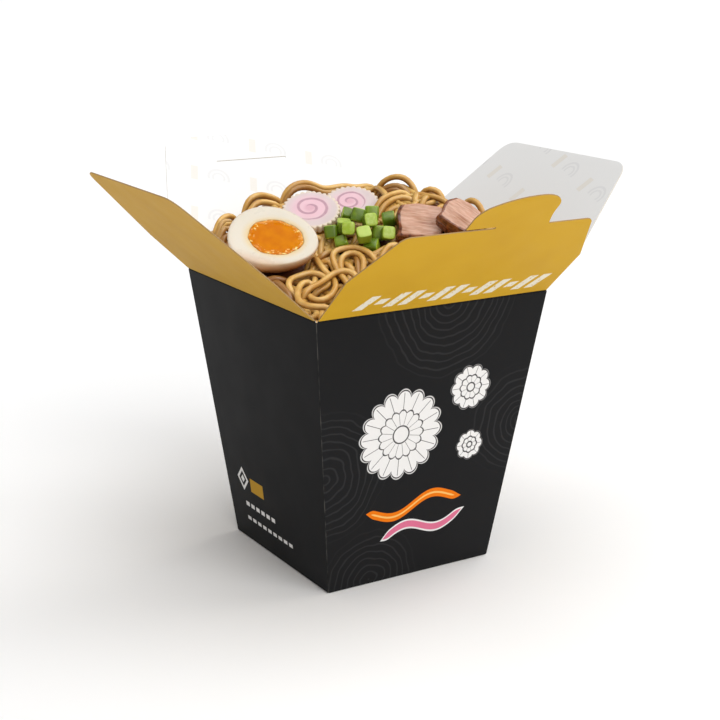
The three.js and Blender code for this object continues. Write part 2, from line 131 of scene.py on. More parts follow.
def heap_top(x: Array, y: Array) -> Array:
    """Height of the heap, which falls to the corner at -X and -Y and has round shoulders at the walls.

    Args:
        x: X of each place.
        y: Y of each place.

    Returns:
        The height at each place.
    """

    def shoulder(across: Array) -> Array:
        """How the heap falls to one pair of walls."""
        return np.maximum(0, 1 - (np.abs(across) / HEAP_REACH) ** HEAP_POWER) ** HEAP_ROUND

    away = np.hypot(x - LOW_CORNER, y - LOW_CORNER)
    rise = smoothstep(away, HEAP_FOOT, HEAP_LEVEL)
    return BOX_HEIGHT + HEAP_CREST * rise * shoulder(x) * shoulder(y)


def seeded_draw(seed: int) -> Draw:
    """Repeatable draws from 0 to 1.

    Args:
        seed: Where the draws begin.

    Returns:
        A function that gives the next draw.
    """
    state = seed

    def draw() -> float:
        """The next number from 0 to 1."""
        nonlocal state
        state = (state * 1664525 + 1013904223) % 2**32
        return state / 2**32

    return draw


def leaning(tilt: float, bearing: float, spin: float) -> Quaternion:
    """The turn of a piece whose own +Z leans towards a bearing, after a spin about +Z.

    Args:
        tilt: Lean from upright, in degrees.
        bearing: Direction of the lean, in degrees.
        spin: Turn about its own axis before it leans, in degrees.

    Returns:
        The turn as a quaternion.
    """

    def about(axis: str, angle: float) -> Quaternion:
        """A turn about one axis."""
        return Matrix.Rotation(math.radians(angle), 3, axis).to_quaternion()

    return about("Z", bearing) @ about("Y", tilt) @ about("Z", spin)


@dataclass(frozen=True)
class Place:
    """Where a topping lies: the middle of the face that it shows, and how that face leans."""

    at: Spot
    tilt: float
    spin: float

    def matrix(self) -> Matrix:
        """The move from the topping's own axes to the box's, in millimetres."""
        turn = leaning(self.tilt, LOW_BEARING, self.spin).to_matrix().to_4x4()
        return Matrix.Translation(self.at) @ turn


# ---- Meshes --------------------------------------------------------------------------------------


def moved(points: Array, matrix: Matrix) -> Array:
    """Applies a 4 by 4 matrix to an array of points."""
    table = np.array(matrix)
    return points @ table[:3, :3].T + table[:3, 3]


def linked(name: str, data: bpy.types.ID) -> Piece:
    """Makes an object of its data at the origin, linked to the scene."""
    made = bpy.data.objects.new(name, data)
    bpy.context.collection.objects.link(made)
    return made


def mesh_object(name: str, points: Array, faces: Faces, material: Finish | None = None) -> Piece:
    """Makes a smooth mesh object at the origin.

    Args:
        name: Name of the object.
        points: Its vertices, in millimetres.
        faces: Vertex numbers of each face, anticlockwise from outside.
        material: Its material.

    Returns:
        The object, linked to the scene.
    """
    mesh = bpy.data.meshes.new(name)
    mesh.from_pydata((np.asarray(points) * MM).tolist(), [], faces)
    mesh.validate()
    mesh.shade_smooth()
    if material:
        mesh.materials.append(material)
    return linked(name, mesh)


def gridded_block(cells: int) -> tuple[Array, Faces]:
    """A cube from -1 to 1 whose faces are grids.

    Args:
        cells: How many cells an edge is cut into.

    Returns:
        The vertices, and the faces.
    """
    work = bmesh.new()
    bmesh.ops.create_cube(work, size=2)
    bmesh.ops.subdivide_edges(work, edges=work.edges, cuts=cells - 1, use_grid_fill=True)
    unit = np.array([vertex.co for vertex in work.verts])
    faces = [tuple(vertex.index for vertex in face.verts) for face in work.faces]
    work.free()
    return unit, faces


def give_attribute(piece: Piece, name: str, values: Array) -> None:
    """Stores one number for each vertex under a name."""
    attribute = piece.data.attributes.new(name, "FLOAT", "POINT")
    attribute.data.foreach_set("value", np.asarray(values, dtype=np.float32))


def give_uv(piece: Piece, flat: Array) -> None:
    """Gives each vertex a place in the UV map.

    Args:
        piece: The mesh object.
        flat: Two numbers for each vertex.
    """
    while piece.data.uv_layers:
        piece.data.uv_layers.remove(piece.data.uv_layers[0])
    layer = piece.data.uv_layers.new(name="UVMap")
    corners = np.empty(len(piece.data.loops), dtype=np.int32)
    piece.data.loops.foreach_get("vertex_index", corners)
    layer.uv.foreach_set("vector", np.asarray(flat, dtype=np.float32)[corners].ravel())


@dataclass
class Shell:
    """A closed shell of rings between two poles, and a number for each ring.

    The rings have equally many points, anticlockwise from above, and come from below upwards on the outside.
    The poles are the first and the last ring, of one point each.
    """

    rings: list[Array] = field(default_factory=list)
    marks: list[float] = field(default_factory=list)

    def add(self, ring: Array | Spot, mark: float = 0.0) -> None:
        """Adds the next ring or pole, and its number."""
        self.rings.append(np.atleast_2d(ring))
        self.marks.append(mark)

    def points(self) -> Array:
        """Its vertices."""
        return np.vstack(self.rings)

    def marked(self) -> Array:
        """The number of its ring for each vertex."""
        return np.repeat(self.marks, [len(ring) for ring in self.rings])

    def faces(self) -> Faces:
        """Its faces, which point outwards."""
        count = len(self.rings[1])
        top_row = 1 + (len(self.rings) - 3) * count
        faces: Faces = []
        for i in range(count):
            after = (i + 1) % count
            faces.append((0, 1 + after, 1 + i))
            for low in range(1, top_row, count):
                faces.append((low + i, low + after, low + count + after, low + count + i))
            faces.append((top_row + i, top_row + after, top_row + count))
        return faces


# ---- Node trees and shaders ----------------------------------------------------------------------


def adding(operation: str) -> Callable[..., "Value"]:
    """A method that adds a Math node on a value and any others."""

    def method(value: "Value", *others: Number) -> "Value":
        """Adds the node and gives what comes out of it."""
        return value.shader.maths(operation, value, *others)

    return method


class Value:
    """A number in a shader, which takes part in Python arithmetic.

    Part is what is left over the whole number below, most is the larger of two, and angle is the angle whose
    tangent is this value over the other.
    """

    __add__ = __radd__ = adding("ADD")
    __sub__ = adding("SUBTRACT")
    __mul__ = __rmul__ = adding("MULTIPLY")
    __truediv__ = adding("DIVIDE")
    __pow__ = adding("POWER")
    __abs__ = adding("ABSOLUTE")
    sine = adding("SINE")
    root = adding("SQRT")
    part = adding("FRACT")
    most = adding("MAXIMUM")
    angle = adding("ARCTAN2")

    def __init__(self, shader: "Shader", socket: Socket) -> None:
        """Keeps the socket and the shader that it belongs to."""
        self.shader = shader
        self.socket = socket

    def __rsub__(self, other: Number) -> "Value":
        """The difference, the other way round."""
        return self.shader.maths("SUBTRACT", other, self)

    def __neg__(self) -> "Value":
        """The opposite."""
        return self * -1.0

    def step(self, low: float, high: float) -> "Value":
        """Rises smoothly from 0 at low to 1 at high, or falls if low is the higher.

        Args:
            low: Where it rises from.
            high: Where it ends.

        Returns:
            The number from 0 to 1.
        """
        ends = (low, high, 0.0, 1.0) if low < high else (high, low, 1.0, 0.0)
        inputs = dict(zip(("From Min", "From Max", "To Min", "To Max"), ends)) | {"Value": self}
        settings = {"interpolation_type": "SMOOTHSTEP"}
        return Value(self.shader, self.shader.node("ShaderNodeMapRange", settings, inputs).outputs[0])


class Tree:
    """A node tree in the making."""

    def __init__(self, tree: bpy.types.NodeTree) -> None:
        """Keeps the tree."""
        self.tree = tree

    def node(self, kind: str, settings: Details | None = None, inputs: Details | None = None) -> Node:
        """Adds a node.

        Args:
            kind: Its type.
            settings: Its properties, which are set first.
            inputs: Values or links of its sockets, by name or number.

        Returns:
            The node.
        """
        made = self.tree.nodes.new(kind)
        for name, value in (settings or {}).items():
            setattr(made, name, value)
        for key, value in (inputs or {}).items():
            self.feed(made.inputs[key], value)
        return made

    def feed(self, socket: Socket, value: object) -> None:
        """Links a socket to a value, to another socket or to a node's first, or sets its number or colour.

        Args:
            socket: The input.
            value: What it is given.
        """
        source = value.outputs[0] if isinstance(value, Node) else getattr(value, "socket", value)
        if isinstance(source, Socket):
            self.tree.links.new(source, socket)
        else:
            socket.default_value = value


class Shader(Tree):
    """A material in the making."""

    def __init__(self, name: str) -> None:
        """Starts a material with an empty Principled shader."""
        self.material = bpy.data.materials.new(name)
        self.material.use_nodes = True
        super().__init__(self.material.node_tree)
        self.surface = self.tree.nodes["Principled BSDF"]

    def maths(self, operation: str, *terms: Number) -> Value:
        """Adds a Math node on some numbers."""
        made = self.node("ShaderNodeMath", {"operation": operation}, dict(enumerate(terms)))
        return Value(self, made.outputs[0])

    def finish(
        self, colour: Colour | Socket, roughness: Number, normal: Socket | None = None, **others: object
    ) -> Finish:
        """Sets the surface's inputs.

        Args:
            colour: A colour, or the socket that gives it.
            roughness: From 0 to 1.
            normal: The socket of a bump.
            others: More inputs, by name, with _ for a space.

        Returns:
            The material.
        """
        if normal:
            others["Normal"] = normal
        for name, value in {"Base Color": colour, "Roughness": roughness, **others}.items():
            self.feed(self.surface.inputs[name.replace("_", " ")], value)
        return self.material

    def place(self) -> Socket:
        """The place on the object, in millimetres."""
        coordinates = self.node("ShaderNodeTexCoord").outputs["Object"]
        return self.vector("SCALE", coordinates, scale=1000.0)

    def flat(self) -> Socket:
        """The place in the piece's UV map."""
        return self.node("ShaderNodeUVMap", {"uv_map": "UVMap"}).outputs[0]

    def vector(self, operation: str, first: object, second: object = None, scale: float = 1.0) -> Socket:
        """Adds a Vector Math node and gives its vector."""
        inputs = {0: first, "Scale": scale} if operation == "SCALE" else {0: first, 1: second}
        return self.node("ShaderNodeVectorMath", {"operation": operation}, inputs).outputs[0]

    def parts(self, vector: Socket) -> tuple[Value, Value, Value]:
        """The three numbers of a vector."""
        x, y, z = self.node("ShaderNodeSeparateXYZ", inputs={0: vector}).outputs
        return Value(self, x), Value(self, y), Value(self, z)

    def attribute(self, name: str) -> Value:
        """A number that the mesh stores at its vertices."""
        return Value(self, self.node("ShaderNodeAttribute", {"attribute_name": name}).outputs["Fac"])

    def noise(self, where: Socket, size: float, detail: float = 2.0) -> Value:
        """Soft noise about 0.5 whose lumps have this size."""
        inputs = {"Vector": where, "Scale": 1 / size, "Detail": detail}
        return Value(self, self.node("ShaderNodeTexNoise", inputs=inputs).outputs[0])

    def mix(self, share: Number, first: object, second: object) -> Socket:
        """A colour between two others."""
        return self.node("ShaderNodeMix", {"data_type": "RGBA"}, {0: share, 6: first, 7: second}).outputs[2]

    def bump(self, height: Value, depth: float) -> Socket:
        """A normal that shows a height from 0 to 1 as relief of this depth in millimetres."""
        inputs = {"Height": height, "Strength": 1.0, "Distance": depth * MM}
        return self.node("ShaderNodeBump", inputs=inputs).outputs[0]


def sunlit(weight: float, spread: Spot, reach: float) -> dict[str, object]:
    """Inputs of flesh that a share of the light sinks into, as far as a reach in millimetres."""
    return {"Subsurface_Weight": weight, "Subsurface_Radius": spread, "Subsurface_Scale": reach * MM}


@dataclass(frozen=True)
class BlackBoard:
    """Black coated board with a faint ring pattern, white and coloured print, and bare board inside."""

    black: Colour = shade(32, 32, 33)
    ring: Colour = shade(50, 50, 51)
    worn: Colour = shade(92, 90, 86)
    bare: Colour = shade(214, 206, 192)
    inside: Colour = shade(232, 231, 228)
    white: Colour = shade(240, 238, 236)
    ink: Colour = shade(58, 56, 56)
    orange: Colour = shade(240, 122, 18)
    pink: Colour = shade(226, 118, 150)
    gold: Colour = shade(196, 150, 44)

    def material(self) -> Finish:
        """Builds the material, which reads the place on the box in millimetres.

        Returns:
            The material.
        """
        s = Shader("black_board")
        place = s.place()
        x, y, z = s.parts(place)
        reach = abs(x).most(abs(y))
        front = (-y - abs(x)).step(-0.3, 0.3)
        colour = s.mix(self.rings(s, place, x, z) * front * 0.8, self.black, self.ring)
        left = (-x - abs(y)).step(-0.3, 0.3)
        for share, ink in self.front_print(s, x, z):
            colour = s.mix(share * front, colour, ink)
        for share, ink in self.left_print(y, z):
            colour = s.mix(share * left, colour, ink)
        scuff = s.noise(place, 6.0, 4.0)
        crease = abs(abs(x) - abs(y)).step(0.4, 0.12)
        foot = z.step(0.5, 0.15)
        colour = s.mix(crease.most(foot) * scuff.step(0.35, 0.7) * 0.7, colour, self.worn)
        depth = z * WALL_LEAN + BASE_SIDE / 2 - reach
        colour = s.mix(depth.step(0.24, 0.3), colour, self.bare)
        colour = s.mix(depth.step(0.4, 0.46), colour, self.inside)
        grain = s.noise(place, 0.5, 3.0)
        rough = s.noise(place, 14.0) * 0.14 + 0.5
        return s.finish(colour, rough, s.bump(grain, 0.01), Specular_IOR_Level=0.05)

    def rings(self, s: Shader, place: Socket, x: Value, z: Value) -> Value:
        """Wavering rings about a few points of the front wall.

        Args:
            s: The shader.
            place: The place on the box.
            x: Place across the wall.
            z: Height on the wall.

        Returns:
            The share of the rings' colour.
        """
        waver = (s.noise(place, 16.0) - 0.5) * 7.0
        pitch, fade = 3.1, 7.0
        share: Value | None = None
        for across, up, reach in ((-44, 50, 30), (6, 116, 34), (46, 60, 26), (-20, 2, 24)):
            away = ((x - across) ** 2.0 + (z - up) ** 2.0).root() + waver
            lines = abs((away / pitch).part() - 0.5).step(0.34, 0.46) * away.step(reach, reach - fade)
            share = lines if share is None else share.most(lines)
        return share

    def rosette(self, x: Value, z: Value, centre: Pair, radius: float, petals: int) -> tuple[Value, Value]:
        """A round flower of overlapping petals.

        Args:
            x: Place across the wall.
            z: Height on the wall.
            centre: Middle of the flower.
            radius: Reach of its petals.
            petals: How many petals its outer row has.

        Returns:
            The share of white, and the share of the thin lines on it.
        """
        across, up = x - centre[0], z - centre[1]
        away = (across**2.0 + up**2.0).root() / radius
        turn = up.angle(across) * (petals / 2)
        swing = abs((turn + math.pi / 2).sine())
        between = abs(turn.sine())
        edge = swing**0.6 * 0.16 + 0.84
        white = (away - edge).step(0.015, -0.015)
        thin = 0.3 / radius
        outline = abs(away - edge + 0.035).step(thin * 1.4, thin * 0.5)
        spokes = (between * away).step(0.07, 0.03) * away.step(0.5, 0.53) * away.step(0.93, 0.9)
        rings = abs(away - (swing * 0.07 + 0.47)).step(thin * 1.4, thin * 0.5)
        inner = (swing * away).step(0.05, 0.02) * away.step(0.2, 0.23) * away.step(0.47, 0.45)
        heart = abs(away - 0.19).step(thin * 1.4, thin * 0.5)
        return white, white * outline.most(spokes).most(rings).most(inner).most(heart)

    def ribbon(self, x: Value, z: Value, height: float, ends: Pair, phase: float) -> Value:
        """Distance from the middle line of a brushed wave, in millimetres, and large past its ends."""
        middle = ((x / 5.2 + phase).sine() * 2.7) + x * 0.1 + height
        taper = x.step(ends[0], ends[0] + 7.0) * x.step(ends[1], ends[1] - 9.0)
        return abs(z - middle) + (1 - taper) * 3.2

    def front_print(self, s: Shader, x: Value, z: Value) -> list[tuple[Value, Colour]]:
        """The print of the front wall, layer by layer.

        Args:
            s: The shader, which is not used.
            x: X of the place.
            z: Its height.

        Returns:
            The share and the colour of each layer, from below upwards.
        """
        layers: list[tuple[Value, Colour]] = []
        for centre, radius, petals in (((-11, 63), 19.0, 16), ((20, 78), 9.5, 10), ((22.5, 53), 6.5, 8)):
            white, lines = self.rosette(x, z, centre, radius, petals)
            layers += [(white, self.white), (lines, self.ink)]
        upper = self.ribbon(x, z, 31.5, (-27.0, 25.0), 0.4)
        lower = self.ribbon(x, z, 21.0, (-19.0, 27.0), 2.6)
        layers += [(upper.step(2.0, 1.8), self.orange), (upper.step(0.5, 0.3), shade(252, 196, 110))]
        layers += [(lower.step(2.2, 2.0), self.white), (lower.step(1.5, 1.3), self.pink)]
        return layers

    def left_print(self, y: Value, z: Value) -> list[tuple[Value, Colour]]:
        """The small print low on the left wall: a lozenge, a gold bar and two rows of dashes.

        Args:
            y: Y of the place.
            z: Its height.

        Returns:
            The share and the colour of each layer, from below upwards.
        """

        def bar(middle: Pair, size: Pair) -> Value:
            """A rectangle of the wall."""
            across = abs(y - middle[0]).step(size[0] / 2 + 0.1, size[0] / 2 - 0.1)
            return across * abs(z - middle[1]).step(size[1] / 2 + 0.1, size[1] / 2 - 0.1)

        lozenge = abs(y - 26.0) * 1.1 + abs(z - 28.0)
        layers = [(lozenge.step(5.4, 5.2), self.white), (lozenge.step(3.6, 3.4), self.black)]
        layers.append((lozenge.step(1.9, 1.7), self.white))
        layers.append((bar((14.0, 27.0), (11.0, 6.0)), self.gold))
        dashes = abs((y / 4.4).part() - 0.5).step(0.36, 0.32)
        layers.append((bar((13.0, 17.0), (26.0, 1.9)) * dashes, self.white))
        layers.append((bar((6.5, 10.5), (39.0, 1.6)) * dashes, self.white))
        return layers


@dataclass(frozen=True)
class GoldBoard:
    """Ochre gold board, plain or with a row of slanted white bars near the fold. UV is in 100 mm.

    Sizes of the row are in millimetres.
    """

    name: str
    barred: bool
    gold: Colour = shade(210, 164, 40)
    deep: Colour = shade(204, 157, 37)
    white: Colour = shade(236, 228, 206)
    row_height: float = 9.2
    pitch: float = 6.45

    def material(self) -> Finish:
        """Builds the material.

        Returns:
            The material.
        """
        s = Shader(self.name)
        place = s.vector("SCALE", s.flat(), scale=100.0)
        u, v, _ = s.parts(place)
        colour = s.mix(s.noise(place, 30.0).step(0.3, 0.75), self.gold, self.deep)
        if self.barred:
            colour = s.mix(self.bars(s, place, u, v), colour, self.white)
        fibre = s.noise(place, 0.6, 3.0)
        rough = s.noise(place, 9.0) * 0.16 + 0.5
        return s.finish(colour, rough, s.bump(fibre, 0.012), Specular_IOR_Level=0.1)

    def bars(self, s: Shader, place: Socket, u: Value, v: Value) -> Value:
        """A row of slanted bars, every third of which is short.

        Args:
            s: The shader.
            place: The place on the flap, in millimetres.
            u: How far along the fold it is.
            v: How far above the fold.

        Returns:
            1 on a bar and 0 beside it.
        """
        slanted = u - (v - self.row_height) * 0.5
        across = abs((slanted / self.pitch).part() - 0.5).step(0.34, 0.3)
        short = abs((slanted / (3 * self.pitch)).part() - 0.5).step(0.18, 0.16)
        off = abs(v - self.row_height)
        height = off.step(4.7, 4.4) * (1 - short) + off.step(1.9, 1.6) * short
        ends = slanted.step(-38.8, -38.7) * slanted.step(45.2, 45.1)
        worn = s.noise(place, 1.4, 3.0).step(0.3, 0.42)
        return across * height * ends * worn


@dataclass(frozen=True)
class PaleBoard:
    """The near-white inner face of the board, with faint arcs and small tan bars. UV is in 100 mm."""

    white: Colour = shade(240, 240, 239)
    grey: Colour = shade(208, 208, 210)
    tan: Colour = shade(222, 208, 180)

    def material(self) -> Finish:
        """Builds the material.

        Returns:
            The material.
        """
        s = Shader("pale_board")
        place = s.vector("SCALE", s.flat(), scale=100.0)
        u, v, _ = s.parts(place)
        skewed = u * 0.94 + v * 0.34
        upward = v * 0.94 - u * 0.34
        across, up = (skewed / 27.0).part() * 27.0 - 13.5, (upward / 23.0).part() * 23.0 - 11.5
        away = ((across + 5.0) ** 2.0 + up**2.0).root()
        arcs = abs(away - 4.6).step(0.7, 0.4).most(abs(away - 2.6).step(0.6, 0.35)) * up.step(-1.6, -1.0)
        bar = abs(across - 6.0).step(1.7, 1.4) * abs(up - 0.5).step(4.0, 3.7)
        colour = s.mix(arcs * 0.3, self.white, self.grey)
        colour = s.mix(bar * 0.28, colour, self.tan)
        fibre = s.noise(place, 0.4, 4.0)
        return s.finish(colour, 0.55, s.bump(fibre, 0.015), Specular_IOR_Level=0.3)


@dataclass(frozen=True)
class BoardEdge:
    """The cut edge of the board, where its pale fibres show."""

    pale: Colour = shade(180, 146, 94)
    dark: Colour = shade(150, 114, 64)

    def material(self) -> Finish:
        """Builds the material.

        Returns:
            The material.
        """
        s = Shader("board_edge")
        fibres = s.noise(s.place(), 0.5, 3.0)
        return s.finish(s.mix(fibres, self.dark, self.pale), 0.8)


@dataclass(frozen=True)
class NoodleFlesh:
    """Cooked noodle, tan gold and wet, with painted shade: browner on its underside and dark red-brown where
    it lies deep in the heap.
    """

    light: Colour = shade(232, 190, 112)
    tan: Colour = shade(202, 151, 68)
    brown: Colour = shade(128, 76, 20)
    deep: Colour = shade(112, 52, 14)

    def material(self) -> Finish:
        """Builds the material, which reads how deep each noodle lies and where its underside is, and paints
        shade there.

        Returns:
            The material.
        """
        s = Shader("noodle_flesh")
        place = s.place()
        colour = s.mix(s.noise(place, 11.0, 3.0).step(0.35, 0.68), self.tan, self.light)
        # Painted shade: faces that point downwards turn brown.
        colour = s.mix(s.attribute("below") * 0.75, colour, self.brown)
        # Painted shade: noodles that lie deep in the heap turn dark red-brown.
        colour = s.mix(s.attribute("depth"), colour, self.deep)
        streaks = s.noise(place, 1.1, 2.0)
        rough = s.noise(place, 5.0) * 0.2 + 0.24
        return s.finish(
            colour, rough, s.bump(streaks, 0.06), Coat_Weight=0.25, Coat_Roughness=0.18,
            **sunlit(0.18, (0.9, 0.5, 0.2), 1.4)
        )


@dataclass(frozen=True)
class HeapCore:
    """The middle of the heap, painted dark brown as the shade that shows in the gaps between the noodles."""

    dark: Colour = shade(66, 26, 10)
    brown: Colour = shade(104, 52, 24)

    def material(self) -> Finish:
        """Builds the material.

        Returns:
            The material.
        """
        s = Shader("heap_core")
        lumps = s.noise(s.place(), 4.0, 2.0)
        # Painted shade: these dark browns stand in for the shadow in the gaps between noodles.
        colour = s.mix(lumps, self.dark, self.brown)
        return s.finish(colour, 0.5, s.bump(lumps, 1.0))


@dataclass(frozen=True)
class EggWhite:
    """Boiled egg white: milky on the cut face, with a peach-brown skin, whose colour is also painted as shade
    along the cut face's low side.
    """

    milk: Colour = shade(219, 210, 193)
    halo: Colour = shade(222, 190, 120)
    peach: Colour = shade(202, 146, 88)
    brown: Colour = shade(172, 108, 50)

    def material(self) -> Finish:
        """Builds the material, which reads the skin, painted shade on the cut face's low side included, and
        the closeness of the yolk.

        Returns:
            The material.
        """
        s = Shader("egg_white_flesh")
        place = s.place()
        skin = s.attribute("skin")
        blotch = s.noise(place, 7.0, 3.0)
        skin_colour = s.mix(blotch.step(0.35, 0.7), self.peach, self.brown)
        colour = s.mix(s.attribute("halo") * 0.75, self.milk, self.halo)
        # The skin share also carries painted shade on the cut face's low side.
        colour = s.mix(skin, colour, skin_colour)
        return s.finish(
            colour, s.noise(place, 4.0) * 0.14 + 0.22, s.bump(s.noise(place, 1.2, 3.0), 0.03),
            Coat_Weight=0.1, Coat_Roughness=0.12, **sunlit(0.35, (1.0, 0.8, 0.6), 2.0)
        )


@dataclass(frozen=True)
class Yolk:
    """Soft, wet, deep orange yolk, lighter at its edge, with painted highlight specks near the edge."""

    deep: Colour = shade(206, 114, 0)
    bright: Colour = shade(216, 130, 2)
    rim: Colour = shade(240, 166, 44)
    glint: Colour = shade(252, 222, 140)

    def material(self) -> Finish:
        """Builds the material, which reads the closeness of the edge.

        Returns:
            The material.
        """
        s = Shader("yolk_flesh")
        place = s.place()
        edge = s.attribute("edge")
        clots = s.noise(place, 2.2, 4.0)
        colour = s.mix(s.noise(place, 5.0, 2.0).step(0.35, 0.7), self.deep, self.bright)
        colour = s.mix((edge * clots * 2.0).step(0.9, 1.4), colour, self.rim)
        # Painted highlights: small pale glints near the edge.
        painted_glints = s.noise(s.vector("MULTIPLY", place, (0.6, 0.6, 1.6)), 1.0, 2.0)
        colour = s.mix(painted_glints.step(0.6, 0.68) * edge.step(0.15, 0.6), colour, self.glint)
        return s.finish(
            colour, 0.16, s.bump(clots * (edge * 0.9 + 0.1), 0.8), Specular_IOR_Level=0.05,
            Coat_Weight=(edge * clots * 2.0).step(0.8, 1.1) * 0.8, Coat_Roughness=0.04,
            **sunlit(0.3, (1.0, 0.45, 0.1), 2.0)
        )


@dataclass(frozen=True)
class FishCakeFlesh:
    """White fish cake with a pink spiral. UV starts at the spiral's heart and is in radii of the slice."""

    milk: Colour = shade(216, 199, 198)
    cream: Colour = shade(228, 212, 190)
    blush: Colour = shade(232, 190, 201)
    heart: Colour = shade(212, 158, 174)
    mauve: Colour = shade(178, 132, 148)
    pitch: float = 0.36

    def material(self) -> Finish:
        """Builds the material.

        Returns:
            The material.
        """
        s = Shader("fish_cake_flesh")
        place = s.place()
        u, v, _ = s.parts(s.flat())
        wobble = (s.noise(place, 4.0) - 0.5) * 0.05
        away = (u**2.0 + v**2.0).root() + wobble
        turns = v.angle(u) / (2 * math.pi)
        winding = abs((away / self.pitch + turns + 0.86).part() - 0.5)
        within = away.step(0.7, 0.66)
        stroke = winding.step(0.2, 0.09) * within * away.step(0.1, 0.15)
        colour = s.mix(s.attribute("rim").step(0.86, 1.0), self.milk, self.cream)
        colour = s.mix(away.step(0.85, 0.45) * 0.9, colour, self.blush)
        colour = s.mix(away.step(0.3, 0.08) * 0.6, colour, self.heart)
        colour = s.mix(stroke * (s.noise(place, 1.5) * 0.4 + 0.6), colour, self.mauve)
        return s.finish(
            colour, s.noise(place, 3.0) * 0.15 + 0.33, s.bump(s.noise(place, 0.9, 3.0), 0.05),
            **sunlit(0.3, (1.0, 0.8, 0.8), 1.5)
        )


@dataclass(frozen=True)
class PorkFlesh:
    """Cooked pork: pink-tan fibres on the cut face and a dark glaze round it. UV is in 10 mm."""

    pink: Colour = shade(198, 146, 118)
    pale: Colour = shade(214, 168, 142)
    dark: Colour = shade(164, 98, 66)
    glaze: Colour = shade(138, 74, 34)
    crust: Colour = shade(84, 38, 14)

    def material(self) -> Finish:
        """Builds the material, which reads where the glaze is.

        Returns:
            The material.
        """
        s = Shader("pork_flesh")
        along = s.vector("MULTIPLY", s.flat(), (0.16, 1.0, 1.0))
        fibre = s.noise(along, 0.085, 3.0)
        strand = s.noise(along, 0.24, 2.0)
        place = s.place()
        glaze = (s.attribute("glaze") + (s.noise(place, 2.4, 3.0) - 0.5) * 0.5).step(0.35, 0.7)
        colour = s.mix(fibre.step(0.4, 0.62), self.pink, self.pale)
        colour = s.mix(strand.step(0.56, 0.72) * 0.7, colour, self.dark)
        skin = s.mix(s.noise(place, 2.0, 4.0).step(0.4, 0.65), self.glaze, self.crust)
        return s.finish(
            s.mix(glaze, colour, skin), 0.42 - glaze * 0.18, s.bump(fibre + strand * 0.8, 0.25),
            Coat_Weight=0.3, Coat_Roughness=0.2, **sunlit(0.15, (1.0, 0.4, 0.3), 1.5)
        )


@dataclass(frozen=True)
class GreenStem:
    """Cut green stem: deep green skin, yellow-green cut ends."""

    skin: Colour = shade(130, 156, 32)
    dark: Colour = shade(96, 124, 18)
    cut: Colour = shade(158, 186, 40)
    heart: Colour = shade(180, 202, 86)

    def material(self) -> Finish:
        """Builds the material, which reads the cut ends and each piece's own tone.

        Returns:
            The material.
        """
        s = Shader("stem_flesh")
        place = s.place()
        cut, tone = s.attribute("cut"), s.attribute("tone")
        colour = s.mix((s.noise(place, 3.0, 3.0) + tone * 0.5 - 0.25).step(0.3, 0.7), self.dark, self.skin)
        face = s.mix((s.noise(place, 1.4, 3.0) + tone * 0.4 - 0.2).step(0.35, 0.7), self.cut, self.heart)
        return s.finish(
            s.mix(cut.step(0.3, 0.7), colour, face), s.noise(place, 2.0) * 0.16 + 0.28,
            s.bump(s.noise(place, 0.7, 3.0), 0.08), Coat_Weight=0.15, **sunlit(0.2, (0.5, 1.0, 0.2), 1.2)
        )


# ---- Shapes made by Geometry Nodes ---------------------------------------------------------------


class Form(Tree):
    """A Geometry Nodes tree in the making."""

    def __init__(self, name: str, sizes: dict[str, str]) -> None:
        """Starts a tree.

        Args:
            name: Its name.
            sizes: Name and socket type of each input after the geometry.
        """
        super().__init__(bpy.data.node_groups.new(name, "GeometryNodeTree"))
        self.sockets: dict[str, str] = {}
        faces = self.tree.interface
        faces.new_socket("Geometry", in_out="INPUT", socket_type="NodeSocketGeometry")
        for label, kind in sizes.items():
            self.sockets[label] = faces.new_socket(label, in_out="INPUT", socket_type=kind).identifier
        faces.new_socket("Geometry", in_out="OUTPUT", socket_type="NodeSocketGeometry")
        self.given = self.node("NodeGroupInput").outputs

    def close(self, geometry: Node) -> None:
        """Ends the tree in Realize Instances and Set Material.

        Args:
            geometry: The node that gives the shape.
        """
        smooth = self.node("GeometryNodeSetShadeSmooth", inputs={"Geometry": geometry})
        real = self.node("GeometryNodeRealizeInstances", inputs={"Geometry": smooth})
        parts = {"Geometry": real, "Material": self.given["Material"]}
        self.node("NodeGroupOutput", inputs={0: self.node("GeometryNodeSetMaterial", inputs=parts)})

    def run(self, name: str, start: Piece, **sizes: object) -> Piece:
        """Runs the tree on an object and keeps the result as a plain mesh.

        Args:
            name: Name of the piece.
            start: The object that the tree reads. It is removed.
            sizes: Values of the inputs, named with _ for a space.

        Returns:
            The piece.
        """
        modifier = start.modifiers.new("shape", "NODES")
        modifier.node_group = self.tree
        for label, value in sizes.items():
            modifier[self.sockets[label.replace("_", " ")]] = value
        evaluated = start.evaluated_get(bpy.context.evaluated_depsgraph_get())
        mesh = bpy.data.meshes.new_from_object(evaluated)
        start.modifiers.remove(modifier)
        bpy.data.objects.remove(start)
        mesh.name = name
        return linked(name, mesh)


